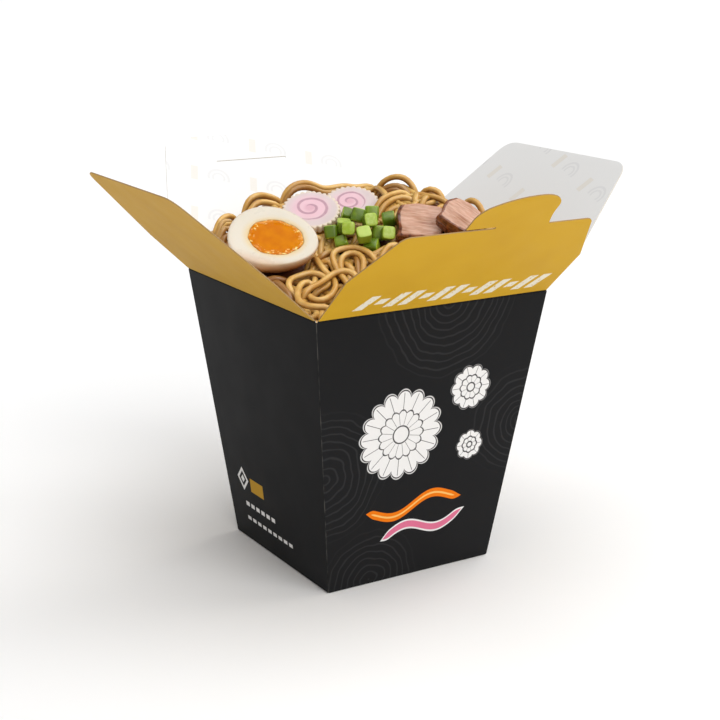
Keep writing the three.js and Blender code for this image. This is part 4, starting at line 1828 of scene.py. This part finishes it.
@dataclass(frozen=True)
class Guide:
    """A noodle whose course is given as the camera sees it.

    Each place has its place across and down the picture, and its height above the heap's outline. Where a
    wall is given, the noodle stands in the upright plane through its two floor places instead. Shaded is the
    least share of painted shade that it gets, from 0 to 1, which darkens it towards dark red-brown.
    """

    name: str
    places: tuple[tuple[float, ...], ...]
    wall: tuple[float, float, float, float] | None = None
    shaded: float = 0.0

    def route(self, spacing: float) -> Array:
        """A smooth route through the places.

        Args:
            spacing: The distance between its points, in millimetres.

        Returns:
            The points.
        """
        view = View()
        if self.wall:
            places = np.array([view.on_plane(place[0], place[1], self.wall) for place in self.places])
        else:
            places = np.array([view.on_heap(*place) for place in self.places])
        ends = np.vstack([2 * places[0] - places[1], places, 2 * places[-1] - places[-2]])
        fine = [places[:1]]
        share = np.arange(0.05, 1.01, 0.05)[:, None]
        for before, a, b, after in zip(ends, ends[1:], ends[2:], ends[3:]):
            bend = 2 * before - 5 * a + 4 * b - after
            twist = 3 * a - before - 3 * b + after
            fine.append(0.5 * (2 * a + (b - before) * share + bend * share**2 + twist * share**3))
        course = np.vstack(fine)
        travel = np.concatenate([[0], np.cumsum(np.linalg.norm(np.diff(course, axis=0), axis=1))])
        steps = np.arange(0, travel[-1], spacing)
        return np.column_stack([np.interp(steps, travel, course[:, axis]) for axis in range(3)])


@dataclass
class Heap:
    """The noodles: a core painted dark brown as shade, layers laid by a seeded rule, and a few whose course
    is given.
    """

    obstacles: list[Obstacle]
    radius: float = 1.27
    length: float = 120.0
    spacing: float = 1.6
    sunk: float = 0.6
    core_depth: float = 7.5
    core_spread: float = 1.12
    core_cells: int = 40
    brim_drop: float = 13.0
    seed: int = 20
    tries: int = 24
    tuck: float = 2.4
    tuck_length: float = 7.0
    turn_back: float = 45.5
    turn_bend: float = 0.16
    sag: float = 0.22
    dip: float = 3.2
    corner_drop: float = 5.0
    crest_rise: float = 2.0
    back_drop: float = 2.5

    def __post_init__(self) -> None:
        """Works out the courses of the guided noodles, and the room that they leave below them."""
        self.courses = [self.eased(guide.route(self.spacing)) for guide in GUIDES]
        self.ceiling = Relief(lambda x, y: np.full_like(x, 2 * BOX_HEIGHT))
        for course in self.courses:
            self.ceiling.hollow(course, 2 * self.radius)

    def level(self, x: Array, y: Array) -> Array:
        """Height that loose noodles reach: lower among the guided ones in front, higher along the crest.

        Args:
            x: X of each place.
            y: Y of each place.

        Returns:
            The height at each place.
        """
        dip = nearness(x, y, (-24.0, -12.0), 14, 30)
        corner = nearness(x, y, (LOW_CORNER, LOW_CORNER), 14, 26)
        crest = smoothstep(np.maximum(x, y), 26, 36) * smoothstep(x, -26, -16)
        back = (1 - smoothstep(x, -30, -20)) * smoothstep(y, 24, 32)
        lowered = heap_top(x, y) - self.dip * dip - self.corner_drop * corner
        return lowered + self.crest_rise * crest - self.back_drop * back

    def core_top(self, x: Array, y: Array) -> Array:
        """Top of the core: well below the tops of the noodles, and further off the walls."""
        outline = heap_top(x * self.core_spread, y * self.core_spread)
        return np.maximum(outline - self.core_depth, BOX_HEIGHT - self.brim_drop + 1)

    def build_core(self) -> Piece:
        """Makes the core as a closed block with an uneven top.

        Returns:
            The core.
        """
        unit, faces = gridded_block(self.core_cells)
        floor, brim = BOARD + GAP, BOX_HEIGHT - self.brim_drop
        share = (unit[:, 2] + 1) / 2
        half = half_inner(floor) + (half_inner(brim) - half_inner(floor)) * share - GAP
        x, y = half * np.sin(unit[:, 0] * math.pi / 2), half * np.sin(unit[:, 1] * math.pi / 2)
        inside = smoothstep(-np.maximum(np.abs(unit[:, 0]), np.abs(unit[:, 1])), -1.0, -0.94)
        top = brim + (self.core_top(x, y) - brim) * inside
        z = np.where(unit[:, 2] > 0.999, top, floor + (brim - floor) * share)
        core = mesh_object("noodle_core", np.column_stack([x, y, z]), faces, HeapCore().material())
        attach(core, "box")
        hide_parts("noodles")
        return core

    def clear(self, points: Array, in_front: bool = True) -> Array:
        """Which points of a route are clear of every topping.

        Args:
            points: The route.
            in_front: Whether the room in front of each topping has to be clear too.

        Returns:
            True for each point that is clear.
        """
        blocked = np.zeros(len(points), dtype=bool)
        for obstacle in self.obstacles:
            blocked |= obstacle.holds(points, self.radius + 0.1, in_front)
        return ~blocked

    def eased(self, points: Array) -> Array:
        """Moves the places where a noodle would graze a topping clear of it.

        Args:
            points: The noodle's course.

        Returns:
            The course, smoothed.
        """
        for _ in range(3):
            for obstacle in self.obstacles:
                points = obstacle.pushed(points, self.radius + 0.3, 3.0)
            points[1:-1] = 0.25 * points[:-2] + 0.5 * points[1:-1] + 0.25 * points[2:]
        return points

    def wandering(self, start: Array, draw: Draw, length: float) -> Array:
        """A route that curls and sways, and turns back before a wall.

        Args:
            start: Where it starts.
            draw: The seeded draws.
            length: Its length, in millimetres.

        Returns:
            The route, at no height yet.
        """
        depth, sway = 0.05 + 0.09 * draw(), 30 + 34 * draw()
        curl = 0.16 * (draw() - 0.5)
        phase, heading = 2 * math.pi * draw(), 2 * math.pi * draw()
        most = half_inner(BOX_HEIGHT) - GAP - self.radius
        x, y = start
        points = []
        for step in range(int(length / self.spacing)):
            bend = curl + depth * math.sin(2 * math.pi * step * self.spacing / sway + phase)
            if max(abs(x), abs(y)) > self.turn_back:
                aside = -y * math.cos(heading) + x * math.sin(heading)
                bend = self.turn_bend * (1 if aside > 0 else -1)
            heading += self.spacing * bend
            x = min(most, max(-most, x + self.spacing * math.cos(heading)))
            y = min(most, max(-most, y + self.spacing * math.sin(heading)))
            points.append((x, y, 0.0))
        return np.array(points)

    def settle(self, points: Array, relief: Relief, lift: Array) -> Array:
        """Lowers a route onto what lies below it, hanging between its supports.

        Args:
            points: The route.
            relief: What has been laid.
            lift: How far each point is held off it.

        Returns:
            The route at its heights.
        """
        support = relief.rest(points, self.radius) - self.sunk + lift
        apart = math.ceil(5 * self.radius / self.spacing)
        height = self.hang(support)
        for j in range(apart, len(points)):
            near = np.hypot(*(points[: j - apart + 1, :2] - points[j, :2]).T)
            under = near < 2 * self.radius
            if under.any():
                bulge = np.sqrt((2 * self.radius) ** 2 - near[under] ** 2)
                support[j] = max(support[j], (height[: j - apart + 1][under] + bulge).max() - self.sunk)
        settled = points.copy()
        settled[:, 2] = self.hang(np.minimum(support, self.ceiling.own(points)))
        return settled

    def hang(self, support: Array) -> Array:
        """Relaxes a soft, heavy string over its supports, and rounds what is left of their steps.

        Args:
            support: Height of the support at each point.

        Returns:
            The string's height at each point.
        """
        height = support.copy()
        for _ in range(60):
            inner = (height[:-2] + height[2:]) / 2 - self.sag
            height[1:-1] = np.maximum(support[1:-1], 0.5 * height[1:-1] + 0.5 * inner)
        for _ in range(6):
            height[1:-1] = 0.25 * height[:-2] + 0.5 * height[1:-1] + 0.25 * height[2:]
        return height

    def stretches(self, points: Array, least: float, allowed: Array) -> list[Array]:
        """Cuts a route down to the noodles that can lie along it.

        Args:
            points: The route.
            least: The shortest that a noodle may be, in millimetres.
            allowed: Where the route may run.

        Returns:
            The noodles, with their ends tucked in.
        """
        kept: list[Array] = []
        run: list[int] = []
        for i, is_clear in enumerate(np.append(allowed, False)):
            if is_clear:
                run.append(i)
            else:
                if len(run) * self.spacing >= least:
                    kept.append(self.off_walls(self.tucked(points[run])))
                run = []
        return kept

    def tucked(self, points: Array) -> Array:
        """Bends both ends of a noodle down into the heap.

        Args:
            points: The noodle.

        Returns:
            The noodle with its ends bent.
        """
        travel = np.arange(len(points)) * self.spacing
        to_end = np.minimum(travel, travel[::-1])
        bent = points.copy()
        bent[:, 2] -= self.tuck * np.clip(1 - to_end / self.tuck_length, 0, 1) ** 2
        return bent

    def off_walls(self, points: Array) -> Array:
        """Keeps a noodle off the walls, which come closer lower down."""
        room = (half_inner(points[:, 2]) - GAP - self.radius - 0.25)[:, None]
        return np.column_stack([np.clip(points[:, :2], -room, room), points[:, 2]])

    def at_walls(self, draw: Draw) -> list[Array]:
        """Rows of noodles up the shoulders of the heap, along each wall.

        Args:
            draw: The seeded draws.

        Returns:
            Two routes for each row of each wall, which overlap where they meet.
        """
        routes = []
        most = half_inner(BOX_HEIGHT) - GAP - self.radius - 0.3
        for bearing in (0, 90, 180, 270):
            turn = Matrix.Rotation(math.radians(bearing), 4, "Z")
            for row, share in enumerate((0.08, 0.3, 0.52, 0.74, 0.94)):
                split = -20 + 40 * draw()
                for low, high in ((-47, split + 5), (split - 5, 47)):
                    phase, waves = 2 * math.pi * draw(), 7 + 4 * draw()
                    along = np.arange(low, high, self.spacing)
                    to_end = np.minimum(along - low, high - along)
                    inset = (0.6 + 0.9 * row) * (1 + np.sin(along / waves + phase)) + 0.8 * row
                    inset += 5 * np.clip(1 - to_end / 9, 0, 1) ** 2
                    wave = np.sin(along / waves * 0.8 + 2 * phase)
                    flat = np.column_stack([along, inset - most, 0 * along])
                    routes.append(self.up_wall(moved(flat, turn), share, wave))
        return routes

    def up_wall(self, points: Array, share: float, wave: Array) -> Array:
        """Gives a route along a wall its heights.

        Args:
            points: The route.
            share: How far up the heap's shoulder it lies, from 0 to 1.
            wave: How it rises and falls, from -1 to 1.

        Returns:
            The route at its heights.
        """
        x, y = points[:, 0], points[:, 1]
        room = np.maximum(0, heap_top(x * 0.94, y * 0.94) - BOX_HEIGHT - 2)
        sunk = 1 + 4.5 * (1 - np.minimum(1, room / 4)) + 5 * nearness(x, y, (LOW_CORNER, LOW_CORNER), 14, 30)
        return np.column_stack([x, y, BOX_HEIGHT - sunk + room * share + (0.09 * room + 0.5) * wave])

    def random_layers(self, relief: Relief, draw: Draw, count: int, above: float) -> list[Array]:
        """Lays noodles one by one, each on the route of a few that lies lowest.

        Args:
            relief: What has been laid, which rises with each.
            draw: The seeded draws.
            count: How many noodles.
            above: How far the tops may stand above the heap's outline, in millimetres.

        Returns:
            The routes.
        """
        laid = []
        for _ in range(count):
            best, worth = None, -math.inf
            for _ in range(self.tries):
                start = np.array([2 * draw() - 1, 2 * draw() - 1]) * self.turn_back
                route = self.wandering(start, draw, self.length * (0.5 + 0.7 * draw()))
                height = relief.rest(route, self.radius)
                route[:, 2] = height
                room = self.level(route[:, 0], route[:, 1]) + above - height - self.radius
                value = float((np.clip(room, -9, 3) * self.clear(route)).mean())
                if value > worth:
                    best, worth = route, value
            reach = 0.3 + 1.0 * draw()
            phase, period = 2 * math.pi * draw(), 16 + 10 * draw()
            swing = np.sin(np.arange(len(best)) * self.spacing / period * 2 + phase)
            lift = reach * np.maximum(0, swing) ** 2
            settled = self.settle(best, relief, lift)
            over = settled[:, 2] + self.radius - self.level(settled[:, 0], settled[:, 1])
            for stretch in self.stretches(settled, 16.0, self.clear(settled) & (over < above + 2.5)):
                relief.lay(stretch, self.radius)
                laid.append(stretch)
        return laid

    def build(self) -> list[Piece]:
        """Lays every noodle and sweeps them.

        Returns:
            The core, and the noodles in two pieces.
        """
        draw = seeded_draw(self.seed)
        relief = Relief(self.core_top)
        walls = self.at_walls(draw)
        for route in walls:
            relief.lay(route, self.radius)
        walls = [stretch for route in walls for stretch in self.stretches(route, 10.0, self.clear(route))]
        under = walls + self.random_layers(relief, draw, count=150, above=-1.2)
        over = self.random_layers(relief, draw, count=60, above=0.4)
        shades = [0.0] * len(over)
        for guide, course in zip(GUIDES, self.courses):
            guided = self.stretches(course, 6.0, self.clear(course, False))
            over += guided
            shades += [guide.shaded] * len(guided)
        tree = sweep_tree()
        material = NoodleFlesh().material()
        pieces = [self.build_core()]
        layers = (("noodles_below", under, [0.0] * len(under)), ("noodles_above", over, shades))
        for name, routes, least in layers:
            # Painted shade: each noodle's depth, and at least its guide's shaded share, darkens it towards
            # dark red-brown.
            depths = [np.maximum(self.depth_of(route, relief), brown) for route, brown in zip(routes, least)]
            start = chain_object(name + "_lines", routes, depths)
            sizes = {"Radius": self.radius * MM, "Sides": 10, "Step": 1.9 * MM, "Unevenness": 0.22}
            piece = tree.run(name, start, **sizes, Material=material)
            # Painted shade: 'below' marks the faces that point downwards, which the material turns brown.
            facing = np.empty(len(piece.data.vertices) * 3)
            piece.data.vertex_normals.foreach_get("vector", facing)
            give_attribute(piece, "below", smoothstep(-facing[2::3], -0.6, 0.5))
            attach(piece, "box")
            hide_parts("noodles")
            LOG.info("%s: %d noodles, %.1f m", name, len(routes), sum(map(len, routes)) * self.spacing / 1000)
            pieces.append(piece)
        return pieces

    def depth_of(self, route: Array, relief: Relief) -> Array:
        """How deep a noodle is buried, which counts less on the heap's shoulders; it is the share of painted
        shade.

        Args:
            route: The noodle.
            relief: All that has been laid.

        Returns:
            A number for each point, from 0, in the open, to 1.
        """
        buried = relief.rest(route, self.radius * 0.6) - self.radius * 0.6 - (route[:, 2] + self.radius)
        by_wall = smoothstep(np.abs(route[:, :2]).max(axis=1), 38, 44)
        return smoothstep(buried, 0.0, 4.0) * (1 - 0.75 * by_wall)


GUIDES = (
    Guide("near_loop", ((336, 307, -0.6), (328, 306.2, 0), (321.4, 307, 0), (315, 307.1, 0),
        (309.3, 306.4, 0), (303.6, 304.6, 0), (299.6, 301.8, 0), (297.7, 298.6, 0), (297.5, 295, 0),
        (298.2, 290.7, -0.2), (299.3, 287.1, -0.4), (301.1, 284.3, -0.6), (303.6, 282.3, -0.8),
        (307.1, 281.1, -1), (310.7, 281.3, -1.1), (313.6, 282.7, -1.2), (316.5, 285.5, -1.8),
        (318.5, 290, -3))),
    Guide("long_s", ((301, 299, -2.6), (302, 295.7, -1.5), (303.2, 293.6, -0.6), (305.7, 290.7, 0.2),
        (310, 288.2, 0.5), (315, 286.1, 0.6), (320.7, 283.2, 0.6), (325, 280, 0.6), (329.3, 276.4, 0.6),
        (333.6, 273.6, 0.6), (337.9, 271.4, 0.6), (342.9, 270.7, 0.5), (346.4, 270.5, 0.4),
        (350.7, 271.8, 0.2), (354.3, 273.2, 0), (358, 276, -0.3), (362, 281, -1))),
    Guide("left_ring", ((296.4, 293.2, -2.4), (293.6, 291.8, -1.8), (290.7, 289.6, -1.6),
        (288.6, 286.4, -1.6), (288.2, 282.9, -1.6), (289.6, 279.3, -1.6), (293.2, 277, -1.6),
        (297.8, 275, -1.6), (303, 273.4, -1.6), (308.6, 272.4, -1.6), (313.6, 272.6, -1.6),
        (317.9, 273.6, -1.6), (321.4, 275, -1.6), (324.8, 277.2, -1.8), (328, 280, -2), (329.8, 283, -2.2),
        (329, 286.3, -2.3), (326, 288.3, -2.4), (320, 289.5, -2.4), (314, 291, -2.4), (310.5, 294, -3.6))),
    Guide("hook", ((313, 254, -3), (315.7, 258.6, -1.4), (317.9, 262.1, -0.9), (320.7, 265.7, -0.8),
        (323.6, 269.3, -0.8), (326.4, 272.9, -1), (328.6, 275, -1.2), (331.5, 277.5, -1.4),
        (334.5, 280, -1.6), (335.9, 283, -1.6), (335.9, 286.4, -1.6), (333.9, 291.4, -1.6),
        (330, 296.4, -1.6), (324.3, 300, -1.7), (317.9, 301.1, -1.8), (312.9, 299.6, -1.9),
        (309.3, 296.8, -2), (308.2, 294.3, -2.4), (308.8, 290, -3.6))),
    Guide("under_egg", ((262, 274.5, -2), (268, 276, -1.6), (276, 277, -1.4), (284, 276.4, -1.6),
        (290, 273.6, -2), (296, 270, -2.6)), shaded=0.7),
    Guide("under_egg_deep", ((264, 271.5, -3), (271, 273.6, -2.4), (279, 274, -2.2), (287, 271.6, -2.4),
        (294, 267.4, -2.8), (301, 263, -3.4)), shaded=0.9),
    Guide("beside_egg", ((313.5, 258.5, -4), (317.9, 256.8, -2.6), (322.1, 256.1, -2.2), (326.4, 253.2, -2.2),
        (330.7, 250.4, -2.4), (334.3, 248.6, -3), (339, 247.5, -4.5)), shaded=0.35),
    Guide("egg_side", ((327, 232, -4), (325, 237.5, -3), (322.5, 241.5, -3), (321, 246, -3),
        (320.5, 250.5, -3.2), (320.5, 255.5, -4.2)), shaded=0.2),
    Guide("cross_piece", ((317, 263.5, -2.6), (320.7, 261.8, -1.9), (324.3, 260.4, -1.8), (327.9, 260, -1.8),
        (330.7, 261.4, -1.8), (332.9, 264.3, -1.8), (335, 267.9, -1.9), (337.5, 271.5, -2.8))),
    Guide("outer_arch", ((339.5, 271, -2.2), (337.1, 267.6, -1.2), (335.2, 264.6, -0.8), (333.2, 261, -0.6),
        (332.1, 257.4, -0.5), (332.9, 253.6, -0.5), (335.7, 250, -0.4), (340, 247.9, -0.3),
        (345, 246.8, -0.2), (350, 246.8, -0.2), (355, 247.3, -0.2), (360, 248.4, -0.2), (365, 250.4, -0.2),
        (369.3, 252.9, -0.3), (372.9, 255.7, -0.4), (375.7, 258.6, -0.6), (379, 264, -1.2))),
    Guide("inner_arch", ((341.5, 269, -2), (340.4, 264.3, -1.2), (340.4, 260, -1), (342.1, 256.8, -0.9),
        (345.7, 253.9, -0.8), (350, 252.5, -0.8), (354.3, 252.5, -0.8), (358.6, 253.6, -0.8),
        (362.2, 256.6, -0.9), (363.9, 260.7, -1), (363.8, 265, -1.1), (362.9, 268.6, -1.3), (362, 274, -2))),
    Guide("inner_leg", ((353, 252.5, -2.8), (356.4, 256.4, -2.2), (357.9, 262.1, -2), (358.2, 267.9, -2),
        (358.6, 272.1, -2.2), (359, 277, -3)), shaded=0.45),
    Guide("spiral_piece", ((341.5, 259.5, -3.6), (345, 262.5, -2.8), (348.6, 265.4, -2.6),
        (352.5, 268.2, -2.6), (355.7, 270.4, -2.8), (359, 273, -3.6))),
    Guide("at_front_flap", ((378.5, 268, -2), (380, 262, -0.9), (382, 256.5, -0.6), (383.6, 253.3, -0.5),
        (385.7, 249.3, -0.5), (388.6, 245.9, -0.5), (391.4, 243.9, -0.5), (394.6, 242.9, -0.6),
        (400, 243, -0.9), (406, 245.5, -2))),
    Guide("brown_end", ((372, 247.5, -3), (375.5, 249.5, -2), (378.6, 252.6, -1.8), (380.4, 257, -2.4),
        (381, 262, -3.6)), shaded=0.5),
    Guide("under_s", ((334, 269, -2.4), (337, 272.2, -1.5), (341, 275.5, -1.1), (344, 278.3, -1),
        (347.5, 282, -1), (352, 287, -1.6))),
    Guide("left_arch", ((214.5, 230), (216.5, 225), (220, 220), (225, 216.5), (230, 215.2), (234.5, 214.6),
        (238, 217)), (-49.5, 36, -30, 44)),
    Guide("left_arch_below", ((216.5, 236), (219, 230.5), (221.5, 226), (225, 222.3), (229, 219.9),
        (233, 220.5)), (-48.5, 34, -30, 40)),
    Guide("left_arch_fill", ((216.8, 234), (218.8, 227.6), (222, 222), (226.5, 218.6), (232, 217.8)),
        (-48.8, 34, -30, 41), shaded=0.35),
    Guide("left_arch_low", ((218.5, 238), (221, 231.5), (224.5, 227), (228.5, 225), (233, 225)),
        (-47.8, 33, -30, 39), shaded=0.45),
    Guide("left_arch_lowest", ((221, 243), (223.5, 237), (227, 232.6), (233, 231)), (-47, 31, -30, 36),
        shaded=0.6),
    Guide("left_flat", ((211, 229, -0.5), (215, 230.5, 0), (222, 232.5, 0), (228, 235, -0.4),
        (233, 238, -2))),
    Guide("left_flat_below", ((212, 232.5, -0.5), (216, 234.6, 0), (222, 237.2, 0), (227, 240, -0.4),
        (231, 243, -2))),
    Guide("middle_arch_fill", ((247, 212), (250, 205), (254, 200.5), (260, 198.4), (267, 198.8), (274, 201.4),
        (281, 205), (286, 209)), (-38, 41, -16, 43), shaded=0.55),
    Guide("middle_arch", ((243, 214), (244.8, 207), (247, 202), (251, 197.8), (256.5, 195.3), (262.5, 194.8),
        (269.5, 196.4), (276.5, 199.4), (282.5, 202.9), (288, 207)), (-40, 40, -18, 42)),
    Guide("middle_arch_below", ((247, 211), (252, 205.4), (257.5, 202.7), (264, 201.6), (272, 203.4),
        (280, 206.4), (286, 210)), (-38, 36, -16, 38)),
    Guide("behind_slices", ((279, 206), (282.6, 198.6), (285.8, 192.4), (289.6, 187.7), (295, 184.4),
        (301, 182.8), (308, 182.6), (314.4, 184.6), (319, 187.6), (324, 188.8), (330, 188.2), (336.5, 187),
        (343, 186), (350, 186.4), (356, 188), (361.8, 186.5), (367.3, 185.8), (374.5, 186.8), (380, 190)),
        (-20, 42, 26, 38)),
    Guide("behind_slices_fill", ((283, 206), (286.6, 198), (290, 192.4), (295, 188.7), (301, 187),
        (308, 187.2), (315, 189.4), (322, 193), (330, 193), (338, 190.5), (346, 189.5)), (-19, 40, 24, 37),
        shaded=0.4),
    Guide("high_arch", ((374, 196), (377.5, 188.5), (380.9, 183.9), (385.4, 180), (390.4, 177.3),
        (397.8, 176.2), (404, 177.3), (408.4, 180.6), (412.3, 185.4), (415, 190), (416.6, 195),
        (416.2, 199.4), (414, 206)), (14, 40, 40, 14)),
    Guide("high_arch_below", ((376, 200), (379, 193.5), (383, 189), (389, 186), (396, 185), (402, 186.5),
        (407, 190), (410, 195.5), (410.5, 201)), (14, 36, 36, 12), shaded=0.5),
    Guide("high_arch_fill", ((378, 203), (381, 197), (385.5, 192.4), (391, 190), (397, 189.4), (402.5, 191.5),
        (406, 196), (407, 202)), (15, 33, 35, 11), shaded=0.7),
    Guide("low_arch", ((373.5, 207.5, -1), (377, 203.8, 0), (384.6, 197.4, 0.4), (393.3, 193.9, 0.6),
        (401.1, 191.9, 0.6), (406.9, 192.6, 0.3), (411, 195, -0.4), (414, 199, -2))),
    Guide("beside_slice", ((366, 186, -1.2), (370, 188.7, -0.2), (375.6, 187.8, 0), (381, 190, 0.2),
        (387.8, 196.7, 0), (392, 202, -1.2))),
    Guide("low_arch_below", ((376.5, 214, -2), (380.2, 209.4, -0.8), (387.8, 202.8, -0.2), (396.7, 197.9, 0),
        (406.7, 197.2, 0), (415.6, 199.6, -0.4), (421, 204, -2))),
    Guide("right_arch", ((418.5, 197), (421.2, 191.6), (426.7, 189.1), (433.1, 188.9), (438.5, 191.4),
        (442.3, 196.2), (444.6, 201.7), (446, 208)), (33, 22, 44, 4)),
    Guide("right_arch_fill", ((420, 200), (422.8, 195.8), (427.5, 193), (433, 193.2), (437.3, 196),
        (440, 201), (441, 207)), (33, 21, 43, 5), shaded=0.6),
    Guide("right_arch_below", ((421, 204), (424.5, 199.5), (428.5, 197.2), (432.5, 197.6), (435.5, 200.6),
        (437, 206)), (32, 20, 42, 4), shaded=0.6),
    Guide("above_pork", ((414, 190), (417.9, 191.8), (422.3, 194), (431, 197.4), (437.8, 200.8),
        (444.4, 204.2), (450, 209)), (33, 17, 40, 2)),
    Guide("far_right_arch", ((461, 206.5), (464.6, 202.3), (470, 200), (475.4, 201.1), (480.6, 206.2),
        (483.4, 210.6), (485, 216)), (42, -10, 44, -30)),
    Guide("beside_pork", ((381, 222, -4), (383.5, 217, -2.6), (387, 213, -1.6), (392, 209, -1),
        (398, 206.5, -1), (404, 206, -1.4), (410, 207, -2.6))),
    Guide("at_left_wall", ((268, 278, -3.6), (275, 281, -2.6), (281, 285, -2.4), (286.5, 291, -2.4),
        (291, 297.5, -2.6), (295, 304, -3.4)), shaded=0.7),
)


# ---- Stage ---------------------------------------------------------------------------------------


@dataclass
class Studio:
    """The camera, a plain white floor and soft light."""

    view: View = View()
    fill: float = 0.27
    spread: float = 50.0
    lamps: tuple[tuple[str, Spot, float], ...] = (
        ("top_light", (0.0, 0.0, 1.0), 1.13),
        ("front_light", (0.0, -0.75, 0.66), 1.46),
        ("side_light", (0.75, 0.0, 0.66), 0.94),
    )

    def build(self) -> None:
        """Sets the camera, the floor and the lights."""
        self.camera()
        self.floor()
        for name, towards, power in self.lamps:
            self.light(name, towards, power)
        world = bpy.data.worlds.new("studio")
        world.use_nodes = True
        world.node_tree.nodes["Background"].inputs["Color"].default_value = (1, 1, 1, 1)
        world.node_tree.nodes["Background"].inputs["Strength"].default_value = self.fill
        bpy.context.scene.world = world
        bpy.context.scene.view_settings.view_transform = "Standard"
        bpy.context.scene.view_settings.look = "None"

    def camera(self) -> None:
        """Places the camera, with the frame as wide as the sensor."""
        data = bpy.data.cameras.new("camera")
        data.sensor_width = 36
        data.lens = self.view.focus / self.view.picture * data.sensor_width
        data.sensor_fit = "HORIZONTAL"
        data.clip_start = 0.01
        camera = bpy.data.objects.new("camera", data)
        axes = self.view.axes()
        camera.matrix_world = Matrix.Translation(axes.translation * MM) @ axes.to_3x3().to_4x4()
        bpy.context.collection.objects.link(camera)
        bpy.context.scene.camera = camera

    def floor(self) -> None:
        """Lays the white floor."""
        reach = 30000.0
        points = np.array([(-reach, -reach, 0), (reach, -reach, 0), (reach, reach, 0), (-reach, reach, 0)])
        s = Shader("floor_white")
        floor = mesh_object("floor", points, [(0, 1, 2, 3)], s.finish(shade(255, 255, 255), 0.6))
        floor.location.z = -0.0002

    def light(self, name: str, towards: Spot, power: float) -> None:
        """Sets a broad, far lamp in the direction that is given.

        Args:
            name: Name of the lamp.
            towards: Where it stands, seen from the box.
            power: Its strength.
        """
        data = bpy.data.lights.new(name, "SUN")
        data.angle = math.radians(self.spread)
        data.energy = power
        lamp = bpy.data.objects.new(name, data)
        lamp.rotation_euler = Vector(towards).to_track_quat("Z", "Y").to_euler()
        bpy.context.collection.objects.link(lamp)


# ---- The whole -----------------------------------------------------------------------------------

FLAPS = (
    Flap(Side.FRONT, FlapForm(straight=26.2, top_half=40.6, height=52.1, corner=3.0), tabbed=True),
    Flap(Side.RIGHT, FlapForm(straight=22.8, top_half=39.4, height=66.6, corner=6.8, opening=48.0)),
    Flap(Side.BACK, FlapForm(straight=27.4, top_half=38.9, height=68.4, corner=6.8), slotted=True),
    Flap(Side.LEFT, FlapForm(straight=22.8, top_half=38.4, height=66.6, corner=6.8)),
)
SLICES = (
    FishCake("fish_cake_slice_front", Place((-10.6, 23.6, 139.6), 29.0, 20.0)),
    FishCake("fish_cake_slice_back", Place((8.8, 23.7, 140.3), 29.0, 200.0), -90.0, (-0.07, 0.15), 1.2),
)
CHUNKS = (
    Pork("pork_chunk_left", Place((18.8, -13.2, 138.1), 52.0, 86.0), (19.6, 15.5, 9.0), 0),
    Pork("pork_chunk_right", Place((27.2, -27.9, 142.7), 42.0, 52.0), (15.4, 13.0, 8.5), 1),
)


def obstacles(egg: Egg, stems: Stems) -> list[Obstacle]:
    """The toppings as the noodles meet them.

    Args:
        egg: The egg.
        stems: The pile of stems.

    Returns:
        A rounded block for each topping.
    """
    oval, drum, block, ball = 2.2, 3.0, 5.0, 2.0
    found = [Obstacle(egg.place.matrix(), (egg.length / 2, egg.width / 2 * 1.05), egg.depth, 0.3, oval)]
    found += [Obstacle(s.place.matrix(), (s.radius, s.radius), s.thickness, 0.0, drum) for s in SLICES]
    for chunk in CHUNKS:
        length, width, thickness = chunk.size
        found.append(Obstacle(chunk.place.matrix(), (length / 2, width / 2), thickness, 0.3, block))
    pile, half = stems.pile.matrix(), stems.radius + stems.more_radius
    for across, up, out, *_ in stems.places:
        spot = Matrix.Translation(pile @ Vector((across, up, out)))
        found.append(Obstacle(spot, (half, half), half, half, ball))
    return found


def main() -> None:
    """Builds the whole scene, piece by piece."""
    logging.basicConfig(level=logging.INFO, format="%(message)s")
    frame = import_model()
    LOG.info("solids: %s", ", ".join(frame["nodes"]))
    Studio().build()
    egg, stems = Egg(), Stems()
    made = Carton().build()
    made += [flap.build() for flap in FLAPS]
    made += egg.build()
    made += [piece.build() for piece in SLICES + CHUNKS]
    made.append(stems.build())
    made += Heap(obstacles(egg, stems)).build()
    for piece in made:
        LOG.info("%s: %d faces", piece.name, len(piece.data.polygons))


if __name__ == "__main__":
    main()
